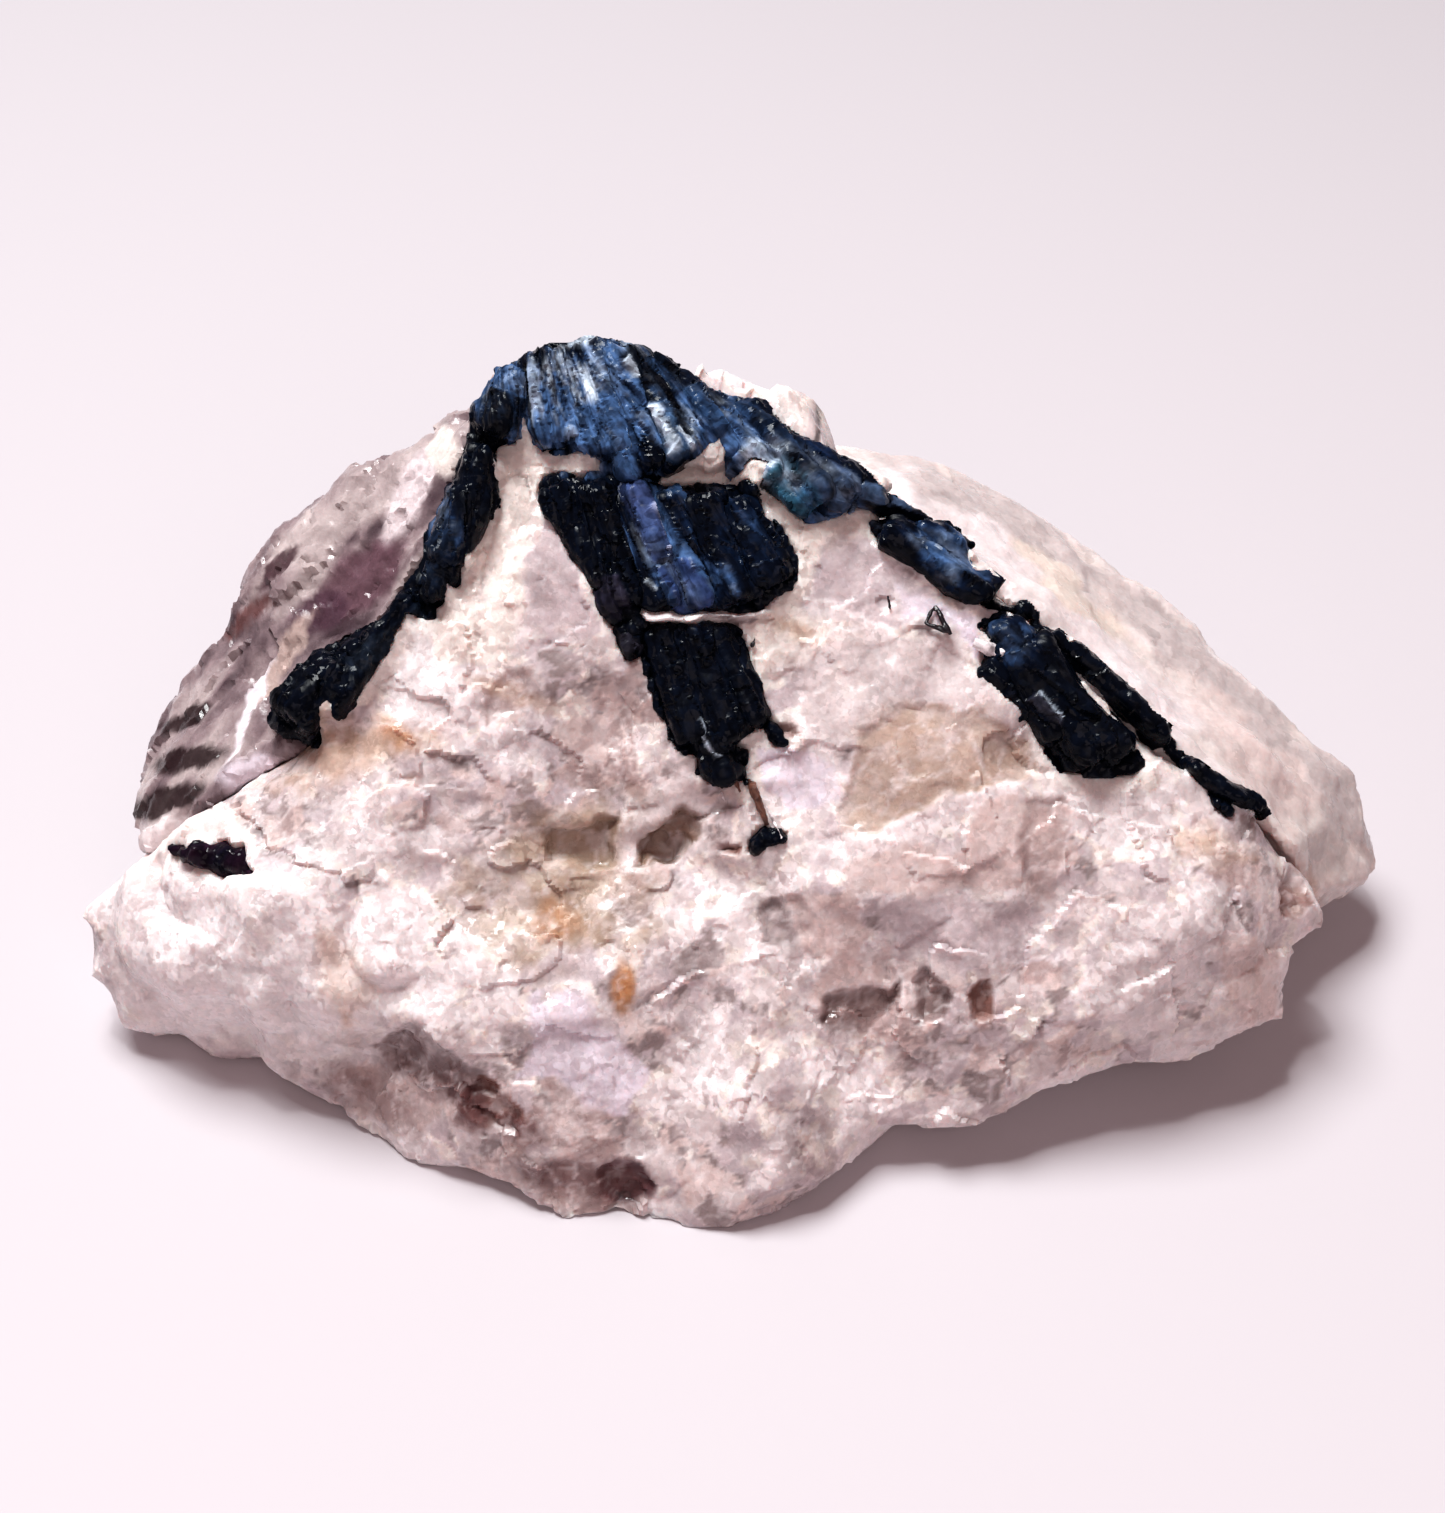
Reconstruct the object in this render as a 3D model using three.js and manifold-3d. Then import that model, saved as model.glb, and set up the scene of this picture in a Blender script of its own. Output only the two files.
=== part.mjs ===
// Tourmaline in quartz: a broken hand specimen about 56 mm wide. A wedge of granular white quartz
// and albite carries a spray of blue-black tourmaline down its sloping front face. Behind the
// ridge on the right lies a smooth mass of milky quartz, and the left side is a glassy flank of
// smoky quartz.
//
// Millimetres, +Z up, +X to the viewer's right, the broken front face towards -Y.
// The origin is the middle of the bounding box, on the surface that the specimen stands on.

import * as THREE from "three";
import { ConvexHull } from "three/addons/math/ConvexHull.js";
import { mergeVertices } from "three/addons/utils/BufferGeometryUtils.js";
import Module from "manifold-3d";

const wasm = await Module();
wasm.setup();

// ------------------------------------------------------------------------------ driving dimensions

const FACE_SLOPE = 43; // degrees from level, the slope of the broken front face
const CONTACT_GAP = 0.3; // clearance between two minerals that grew against each other
const BASE_TRIM = 0.6; // rock lower than this is worn flat, so that the specimen sits steadily
const PRISM_SIDES = 6; // flat sides drawn round a tourmaline
const TRIGONAL = 0.08; // how far a tourmaline's section departs from round, as a share of its radius

const WHITE_ROCK = { color: 0xe6dbd4, roughness: 0.75, metalness: 0 };
const MILKY_QUARTZ = { color: 0xe4dad2, roughness: 0.4, metalness: 0 };
const SMOKY_QUARTZ = { color: 0xa3948f, roughness: 0.25, metalness: 0 };
const BLUE_TOURMALINE = { color: 0x24365f, roughness: 0.3, metalness: 0 };
const BLACK_TOURMALINE = { color: 0x0d1018, roughness: 0.25, metalness: 0 };

// ------------------------------------------------------------------------------------------ places

const slope = THREE.MathUtils.degToRad(FACE_SLOPE);

// A place on the front face: to the right of the front foot, up the slope, and out of the rock.
function onFace([across, up, out]) {
  const y = up * Math.cos(slope) - out * Math.sin(slope);
  const z = up * Math.sin(slope) + out * Math.cos(slope);
  return new THREE.Vector3(across, y, z);
}

// A place to the right of the front foot, back from it, and above the surface it stands on.
function at([x, y, z]) {
  return new THREE.Vector3(x, y, z);
}

// -------------------------------------------------------------------------------- fixed randomness

// The same number from 0 to 1 each time for a corner of the lattice.
function hash(i, j, k, salt) {
  let h = Math.imul(i, 374761393) + Math.imul(j, 668265263);
  h += Math.imul(k, 1440662683) + Math.imul(salt, 974634777);
  h = Math.imul(h ^ (h >>> 13), 1274126177);
  h = Math.imul(h ^ (h >>> 15), 1911520717);
  return ((h ^ (h >>> 16)) >>> 0) / 2 ** 32;
}

// Height of a broken, granular surface: each grain breaks along a flat plane of its own.
function grainFacets(point, size, salt) {
  const cell = point.clone().divideScalar(size);
  const base = cell.clone().floor();
  let nearest = Infinity;
  let height = 0;
  for (let i = -1; i <= 1; i++)
    for (let j = -1; j <= 1; j++)
      for (let k = -1; k <= 1; k++) {
        const [a, b, c] = [base.x + i, base.y + j, base.z + k];
        const random = (n) => hash(a, b, c, salt + n);
        const seed = at([a + random(0), b + random(1), c + random(2)]);
        const offset = cell.clone().sub(seed);
        const distance = offset.lengthSq();
        if (distance >= nearest) continue;
        nearest = distance;
        const tilt = at([random(3), random(4), random(5)]).subScalar(0.5);
        height = tilt.dot(offset) + random(6) - 0.5;
      }
  return height;
}

// ------------------------------------------------------------------------------------------ solids

// A closed mesh as a solid that can be joined and cut.
function solidOf(geometry) {
  geometry.deleteAttribute("normal");
  geometry.deleteAttribute("uv");
  const merged = mergeVertices(geometry, 1e-4);
  return new wasm.Manifold(
    new wasm.Mesh({
      numProp: 3,
      vertProperties: new Float32Array(merged.attributes.position.array),
      triVerts: new Uint32Array(merged.index.array),
    }),
  );
}

function meshOf(name, solid, finish) {
  const { vertProperties, triVerts } = solid.getMesh();
  const geometry = new THREE.BufferGeometry();
  geometry.setAttribute("position", new THREE.BufferAttribute(vertProperties, 3));
  geometry.setIndex(new THREE.BufferAttribute(triVerts, 1));
  geometry.computeVertexNormals();
  const mesh = new THREE.Mesh(geometry, new THREE.MeshStandardMaterial(finish));
  mesh.name = name;
  return mesh;
}

const joined = (solids) => solids.reduce((whole, piece) => whole.add(piece));

// A cut can leave crumbs beside the main body, and a crumb would fall off the real specimen.
function mainBody(solid) {
  const larger = (one, other) => (other.volume() > one.volume() ? other : one);
  return solid.decompose().reduce(larger);
}

// ------------------------------------------------------------------------------------- rock masses

// The flat breaks between the corners of a rock, as seen from a place inside it. Each comes back
// as the matrix that turns a direction into its shares of the break's three corners.
function breaksBetween(corners, centre) {
  const rays = corners.map((corner) => corner.clone().sub(centre));
  const directions = rays.map((ray) => ray.clone().normalize());
  const breaks = [];
  for (const { edge } of new ConvexHull().setFromPoints(directions).faces) {
    const ends = [edge.prev, edge, edge.next].map((side) => directions.indexOf(side.head().point));
    const [a, b, c] = ends.map((end) => rays[end]);
    breaks.push(new THREE.Matrix3().set(a.x, b.x, c.x, a.y, b.y, c.y, a.z, b.z, c.z).invert());
  }
  return breaks;
}

// How far the surface lies from the centre in one direction.
function reachOf(breaks, towards) {
  let best = -Infinity;
  let reach = 0;
  for (const shares of breaks) {
    const share = towards.clone().applyMatrix3(shares);
    const least = Math.min(share.x, share.y, share.z);
    if (least <= best) continue;
    best = least;
    reach = 1 / (share.x + share.y + share.z);
  }
  return reach;
}

// A rough block of rock: flat breaks between its corners, with the broken edges of its grains on them.
function rockMass({ centre, spread, detail, faceCorners, backCorners, grain, salt }, grow = 0) {
  const middle = at(centre);
  const breaks = breaksBetween([...faceCorners.map(onFace), ...backCorners.map(at)], middle);
  const ball = new THREE.IcosahedronGeometry(1, detail);
  const position = ball.attributes.position;
  for (let v = 0; v < position.count; v++) {
    const towards = new THREE.Vector3().fromBufferAttribute(position, v);
    towards.multiply(at(spread)).normalize();
    const point = middle.clone().addScaledVector(towards, reachOf(breaks, towards));
    point.addScaledVector(towards, grow + grain.height * grainFacets(point, grain.size, salt));
    if (point.z < BASE_TRIM) point.z = 0;
    position.setXYZ(v, point.x, point.y, point.z);
  }
  return solidOf(ball);
}

const MATRIX = {
  centre: [-1, 18, 6],
  spread: [24, 15, 11],
  detail: 12,
  faceCorners: [
    // the crest and the ridge down the right
    [-9.3, 35, -1.2], [-6, 35.8, -1], [-3.4, 34.9, -1.4], [-0.4, 34.2, -2], [3, 33, -2.5],
    [4.9, 29.8, -1.2], [10.5, 25.6, -1], [17, 19.5, -1], [20.3, 17.3, -1.2], [22.9, 14.6, -2], [24.5, 13, -3],
    // the right end and the raised lower edge
    [23.1, 10.5, -3], [22.9, 8.2, -3.2], [22, 7.4, -3.2], [18, 6.6, -2], [12.9, 5.3, -1], [8.5, 3.6, -0.8],
    // the foot, and the lip to the left of it
    [5, 3.5, -0.8], [4.2, 2.1, 0], [2.6, 0.7, 0.3], [-0.4, 0.1, 0.3], [-2, 1.1, 0],
    [-5.6, 0.2, -0.4], [-10.5, 1.3, -1.2], [-13.9, 2.2, -2], [-17.1, 3.9, -4], [-19, 5.1, -5.4],
    // the left end and the ridge up the left
    [-26.8, 7.4, -6], [-27.5, 10.4, -5], [-27.3, 13, -4.5], [-25.6, 14.8, -3.5], [-20.8, 17.5, -1.8],
    [-15.7, 20.8, -0.8], [-12.5, 25.7, -1], [-10.8, 33.3, -1.6],
    // swells and hollows of the broken face
    [-7.2, 26.9, 0.1], [4.4, 23.6, 0.2], [7.9, 18.9, 0.8], [-7.3, 15.2, -1], [-2.8, 15.4, -1],
    [-12.3, 18.9, 0.3], [-17.4, 13.3, 0.6], [-21.6, 10.9, -0.2], [-12.7, 10.2, 1], [-4.8, 11, 0.8],
    [0.8, 13.3, 0.6], [5.5, 14.1, 1], [10.4, 11.3, 0.2], [14.3, 15.3, 0.3], [17.5, 11.3, 0.6],
    [19.7, 14.1, -0.3], [1, 4.3, 1.6], [-1.6, 7.8, 0.4], [-11.1, 6, 0.8], [-5.6, 2.5, 0.3],
    [12.7, 7.7, 0.5],
  ],
  backCorners: [
    // the base
    [-24, 16, 0], [-18, 25, 0], [-2, 33, 0], [10, 27, 0], [16, 18, 0], [9, 8, 0], [3, 2.5, 0],
    [20, 13, 2.5], [20, 17, 6], [12, 23, 10], [6, 28, 13], // under the milky quartz
    [-2, 32.5, 8], [-2.5, 31, 15], [-7, 29.5, 20.5], // the back
    [-12, 26, 12], [-18, 20, 8], [-22, 17, 6], // under the smoky quartz
  ],
  grain: { size: 3, height: 0.9 },
  salt: 3,
};

const MILKY = {
  centre: [14, 21, 6],
  spread: [15, 9, 8],
  detail: 6,
  faceCorners: [
    // along the right ridge
    [2.6, 32.6, -3], [5, 30, -2.2], [8, 28, -2], [10.5, 25.8, -1.8], [12.9, 23, -1.8], [17, 19.6, -1.8],
    [20.5, 17.4, -2], [23.2, 14.9, -3], [25.2, 13.7, -6],
    // the outer edge of its smooth top
    [4.3, 33.1, -6], [7, 32.8, -8], [10.2, 31.8, -9], [12.9, 29.9, -10], [18.2, 26.4, -10], [23.7, 21.1, -9],
    [26.8, 18.9, -9], [28.3, 16.2, -9], [28.5, 14.5, -9], [27.6, 13.3, -9.2],
  ],
  backCorners: [
    [26, 20, 0.8], [21, 26.5, 0], [13, 31, 0], [3, 33, 0], [3, 33, 9], [9, 31.5, 9], // the back
    [2, 29, 4], [10, 14, 2], [20, 11, 2], [14, 20, 0], // inside, against the white rock
  ],
  grain: { size: 5, height: 0.45 },
  salt: 31,
};

const SMOKY = {
  centre: [-16, 22.5, 8],
  spread: [11, 8, 9],
  detail: 6,
  faceCorners: [
    // along the left ridge
    [-10.2, 33.6, -2.4], [-12.2, 25.9, -1.8], [-15.4, 21.2, -1.7], [-20.6, 18, -2.6], [-25.2, 15.4, -4.4],
    // the outer edge of the glassy flank
    [-12.5, 33, -4], [-14.7, 31.3, -5], [-16.5, 28.6, -5.5], [-20.9, 25.3, -6.5], [-23.2, 22.9, -7],
    [-25.2, 20.7, -7], [-25.8, 18.8, -6.5], [-26.4, 16.2, -5.8],
  ],
  backCorners: [
    // the back
    [-25, 18, 0.8], [-22, 24, 0], [-14, 30, 0], [-6, 32, 0], [-6, 32, 10], [-8.5, 30, 19],
    [-14, 29, 12],
    [-5, 24, 3], [-12, 17, 3], [-20, 15, 3], // inside, against the white rock
  ],
  grain: { size: 4, height: 0.45 },
  salt: 57,
};

// ----------------------------------------------------------------------------- tourmaline crystals

// A striated prism between two places, with its broken ends left square.
function prism(from, to, radius, grow) {
  const length = from.distanceTo(to) + 2 * grow;
  const rod = new THREE.CylinderGeometry(radius + grow, radius + grow, length, PRISM_SIDES);
  const position = rod.attributes.position;
  for (let v = 0; v < position.count; v++) {
    const angle = Math.atan2(position.getZ(v), position.getX(v));
    const share = 1 + TRIGONAL * Math.cos(3 * angle);
    position.setX(v, position.getX(v) * share);
    position.setZ(v, position.getZ(v) * share);
  }
  const along = to.clone().sub(from).normalize();
  rod.applyQuaternion(new THREE.Quaternion().setFromUnitVectors(at([0, 1, 0]), along));
  rod.translate(...from.clone().add(to).divideScalar(2).toArray());
  return solidOf(rod);
}

// Each crystal is a bundle of prisms in the front face. A prism is given by its upper end and its
// lower end, as across, up and out on the face, and by its radius.
const CRYSTALS = {
  tourmaline_crown: {
    finish: BLUE_TOURMALINE,
    prisms: [
      [[-8.9, 34.3, -1.4], [-9.8, 32.2, -1.2], 1.25],
      [[-7.8, 35.0, -1.3], [-7.3, 31.7, -1], 1.3],
      [[-6.3, 35.3, -1.3], [-5.3, 31.1, -0.8], 1.25],
      [[-5.0, 35.0, -1.3], [-3.6, 30.6, -0.7], 1.2],
      [[-3.8, 34.5, -1.5], [-2.0, 30.7, -0.7], 1.2],
      [[-2.6, 33.9, -1.6], [-0.6, 30.9, -0.8], 1.15],
      [[-1.5, 33.2, -1.7], [1.2, 30.0, -0.8], 1.15],
      [[-0.2, 32.8, -1.8], [3.0, 29.3, -0.8], 1.05],
      [[1.0, 32.2, -1.9], [4.4, 29.6, -1.1], 1],
      [[2.5, 31.3, -1.8], [5.8, 29.6, -1.2], 0.75],
    ],
  },
  tourmaline_left_arm: {
    finish: BLACK_TOURMALINE,
    prisms: [
      [[-10.1, 31.2, -1.1], [-10.9, 29.1, -0.9], 0.8],
      [[-10.8, 29.5, -1], [-11.6, 26.9, -0.8], 0.95],
      [[-11.6, 27.3, -1], [-12.2, 25.4, -0.9], 0.6],
    ],
  },
  tourmaline_left_foot: {
    finish: BLACK_TOURMALINE,
    prisms: [
      [[-13.4, 25.1, -1.6], [-15.0, 22.7, -1.2], 0.75],
      [[-15.0, 23.1, -1.4], [-16.6, 20.7, -1], 1],
      [[-16.2, 22.4, -1.5], [-18.0, 20.6, -1.1], 1.1],
    ],
  },
  tourmaline_centre_fan: {
    finish: BLUE_TOURMALINE,
    prisms: [
      [[-7.2, 29.7, -0.8], [-5.6, 25.9, -0.5], 0.95],
      [[-5.8, 29.7, -0.9], [-4.4, 25.2, -0.5], 1.15],
      [[-4.3, 29.5, -0.8], [-2.9, 25.1, -0.4], 1.15],
      [[-3.0, 29.3, -0.8], [-1.6, 25.1, -0.4], 1.1],
      [[-1.6, 29.2, -0.8], [-0.2, 25.3, -0.4], 1.15],
      [[-0.2, 29.0, -0.8], [1.0, 26.0, -0.5], 1.05],
    ],
  },
  tourmaline_centre_prism: {
    finish: BLACK_TOURMALINE,
    prisms: [
      [[-3.2, 24.1, -0.6], [-1.7, 19.9, -0.3], 0.85],
      [[-2.0, 24.1, -0.7], [-0.4, 19.5, -0.4], 1.15],
      [[-1.0, 24.0, -0.7], [0.6, 20.4, -0.5], 0.85],
      [[-1.4, 20.2, -0.5], [-0.5, 18.1, -0.3], 0.75],
    ],
  },
  tourmaline_side_prism: {
    finish: BLACK_TOURMALINE,
    prisms: [[[-4.9, 24.2, -0.4], [-4.4, 23.0, -0.3], 0.5]],
  },
  tourmaline_right_upper: {
    finish: BLUE_TOURMALINE,
    prisms: [
      [[5.9, 28.0, -0.9], [9.7, 25.4, -0.7], 0.75],
      [[7.3, 28.1, -1.2], [10.4, 25.8, -1], 0.65],
    ],
  },
  tourmaline_right_lower: {
    finish: BLACK_TOURMALINE,
    prisms: [
      [[10.5, 24.3, -0.9], [12.8, 19.9, -0.5], 0.95],
      [[11.5, 23.3, -1], [14.2, 19.1, -0.6], 1.25],
      [[12.6, 22.1, -1], [15.4, 19.3, -0.8], 0.8],
    ],
  },
  tourmaline_right_rim: {
    finish: BLACK_TOURMALINE,
    prisms: [[[12.7, 24.0, -1.3], [17.3, 20.0, -1.1], 0.4]],
  },
  tourmaline_right_tip: {
    finish: BLACK_TOURMALINE,
    prisms: [[[18.3, 18.7, -1.2], [21.0, 16.8, -1.4], 0.35]],
  },
  tourmaline_left_corner: {
    finish: BLACK_TOURMALINE,
    prisms: [[[-22.6, 15.3, -1.8], [-19.4, 14.5, -1.2], 0.6]],
  },
  tourmaline_needle: {
    finish: BLACK_TOURMALINE,
    prisms: [[[0.4, 15.3, 0.1], [1.7, 16.0, 0.1], 0.35]],
  },
};

function crystalSolid({ prisms }, grow = 0) {
  return joined(prisms.map(([from, to, radius]) => prism(onFace(from), onFace(to), radius, grow)));
}

// ---------------------------------------------------------------------------------------- specimen

const crystals = Object.values(CRYSTALS);
const pockets = joined(crystals.map((crystal) => crystalSolid(crystal, CONTACT_GAP)));
const nearMatrix = rockMass(MATRIX, CONTACT_GAP);
const nearMilky = rockMass(MILKY, CONTACT_GAP);
const matrix = mainBody(rockMass(MATRIX).subtract(pockets));
const milky = mainBody(rockMass(MILKY).subtract(nearMatrix).subtract(pockets));
const smoky = mainBody(rockMass(SMOKY).subtract(nearMatrix).subtract(nearMilky).subtract(pockets));

const specimen = new THREE.Group();
specimen.name = "tourmaline_in_quartz";
specimen.add(meshOf("quartz_matrix", matrix, WHITE_ROCK));
specimen.add(meshOf("milky_quartz", milky, MILKY_QUARTZ));
specimen.add(meshOf("smoky_quartz", smoky, SMOKY_QUARTZ));
for (const [name, crystal] of Object.entries(CRYSTALS)) {
  specimen.add(meshOf(name, crystalSolid(crystal), crystal.finish));
}

const box = new THREE.Box3().setFromObject(specimen);
const middle = box.getCenter(new THREE.Vector3());
specimen.position.set(-middle.x, -middle.y, -box.min.z);

export default specimen;
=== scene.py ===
"""Looks for the tourmaline in quartz specimen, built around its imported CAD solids.

Each solid is remeshed finely, its surface is broken into flat grains, and every grain gets the colour and
clearness of its mineral. Places on the sloping front face are (across, up, out) in millimetres from the
front foot. In calls for noise and grains, the number after the size is a salt, which sets their pattern.
"""

import math

import bmesh
import bpy
import numpy as np
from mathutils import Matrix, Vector
from mathutils.bvhtree import BVHTree


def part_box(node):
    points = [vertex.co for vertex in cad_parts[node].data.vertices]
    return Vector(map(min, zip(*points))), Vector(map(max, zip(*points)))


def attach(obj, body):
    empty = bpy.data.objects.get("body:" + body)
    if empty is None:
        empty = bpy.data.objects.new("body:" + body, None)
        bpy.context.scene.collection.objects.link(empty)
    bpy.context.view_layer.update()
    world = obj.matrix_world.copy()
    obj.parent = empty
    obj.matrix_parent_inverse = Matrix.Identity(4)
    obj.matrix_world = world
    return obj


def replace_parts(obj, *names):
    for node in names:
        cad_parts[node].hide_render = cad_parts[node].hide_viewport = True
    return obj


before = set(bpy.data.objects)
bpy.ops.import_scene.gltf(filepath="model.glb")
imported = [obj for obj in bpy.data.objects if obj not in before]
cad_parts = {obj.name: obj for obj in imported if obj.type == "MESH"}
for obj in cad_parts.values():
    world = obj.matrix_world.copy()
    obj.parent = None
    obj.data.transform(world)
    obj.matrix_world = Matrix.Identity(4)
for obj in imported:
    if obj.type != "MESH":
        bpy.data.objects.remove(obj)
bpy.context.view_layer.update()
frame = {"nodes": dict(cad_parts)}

# -------- places and sizes

MM = 0.001
FACE_SLOPE = math.radians(43)
SIDE_PRISM_PLACE = (-4.65, 23.6, -0.35)  # its middle, on the front face
SPRAY_APEX = np.array([-9.5, 42])  # across and up: every tourmaline points away from here

CAMERA_AIM = (-0.72, 19.04, 0)  # on the front face
CAMERA_DISTANCE = 93.5 * MM
CAMERA_PITCH = math.radians(47)  # looking down
FOCAL_PIXELS = 2338
IMAGE_LONG_SIDE = 1513
SENSOR = 36  # mm

# The size of a fine mesh's cells.
ROCK_VOXEL = 0.32 * MM
MILKY_VOXEL = 0.24 * MM
SMOKY_VOXEL = 0.2 * MM
CRYSTAL_VOXEL = 0.09 * MM
SLIVER_VOXEL = 0.045 * MM
SHARP_EDGE = math.radians(32)  # edges that bend more are drawn sharp

FACE_AXES = np.array([
    [1, 0, 0],
    [0, math.cos(FACE_SLOPE), math.sin(FACE_SLOPE)],
    [0, -math.sin(FACE_SLOPE), math.cos(FACE_SLOPE)],
])
side_prism_middle = np.mean(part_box("tourmaline_side_prism"), axis=0)
FOOT = side_prism_middle - MM * np.array(SIDE_PRISM_PLACE) @ FACE_AXES


def on_face(across, up, out=0):
    """A place on the front face, in the row frame, in metres."""
    return FOOT + MM * np.array([across, up, out]) @ FACE_AXES


def face_places(points):
    """Row-frame points in metres as across, up and out on the front face, in millimetres."""
    return (points - FOOT) @ FACE_AXES.T / MM


# -------- noise and grains


def hashed(cell, salt):
    """A number from 0 to 1 for each whole-numbered cell, the same on every run."""
    i, j, k = (cell[:, n].astype(np.int64) for n in range(3))
    mask = 0xFFFFFFFF
    h = (i * 374761393 + j * 668265263 + k * 1440662683 + salt * 974634777) & mask
    h = ((h ^ (h >> 13)) * 1274126177) & mask
    h = ((h ^ (h >> 15)) * 1911520717) & mask
    return (h ^ (h >> 16)) / 2.0**32


def smooth_noise(places, wavelength, salt):
    """Smooth noise from -1 to 1."""
    scaled = places / wavelength
    base = np.floor(scaled)
    share = scaled - base
    share = share * share * (3 - 2 * share)
    total = np.zeros(len(places))
    for corner in np.ndindex(2, 2, 2):
        weight = np.prod(np.where(corner, share, 1 - share), axis=1)
        total += weight * hashed(base + corner, salt)
    return 2 * total - 1


def noise(places, wavelength, salt, layers=4):
    """Noise with finer and fainter layers, each half the size of the last."""
    total = np.zeros(len(places))
    for layer in range(layers):
        total += smooth_noise(places, wavelength / 2**layer, salt + layer) / 2**layer
    return total


class Grains:
    """Space split into grains about one size across, each with a flat break of its own."""

    def __init__(self, places, size, salt):
        scaled = places / size
        base = np.floor(scaled)
        count = len(places)
        nearest = np.full(count, np.inf)
        second = np.full(count, np.inf)
        offset = np.zeros((count, 3))
        owner = np.zeros((count, 3))
        for step in np.ndindex(3, 3, 3):
            cell = base + step - 1
            jitter = np.stack([hashed(cell, salt + n) for n in range(3)], axis=1)
            gap = scaled - cell - jitter
            distance = (gap**2).sum(axis=1)
            closer = distance < nearest
            second = np.where(closer, nearest, np.minimum(second, distance))
            nearest = np.where(closer, distance, nearest)
            offset[closer] = gap[closer]
            owner[closer] = cell[closer]
        self.owner = owner
        self.salt = salt
        self.border = (np.sqrt(second) - np.sqrt(nearest)) * size
        tilt = np.stack([self.random(3 + n) for n in range(3)], axis=1) - 0.5
        self.relief = 1.5 * (tilt * offset).sum(axis=1) + 0.5 * (self.random(6) - 0.5)

    def random(self, n):
        """The n-th random number from 0 to 1 of each point's grain."""
        return hashed(self.owner, self.salt + n)


def warped(places, amount, wavelength, salt):
    """Places moved about by noise, so that what is drawn on them has ragged edges."""
    shift = [noise(places, wavelength, salt + 10 * n, 2) for n in range(3)]
    return places + amount * np.stack(shift, axis=1)


def faded(distance, inner, outer):
    """1 inside the inner distance, 0 outside the outer one, smooth between."""
    share = np.clip((outer - distance) / (outer - inner), 0, 1)
    return share * share * (3 - 2 * share)


# -------- crystal outlines

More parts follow.
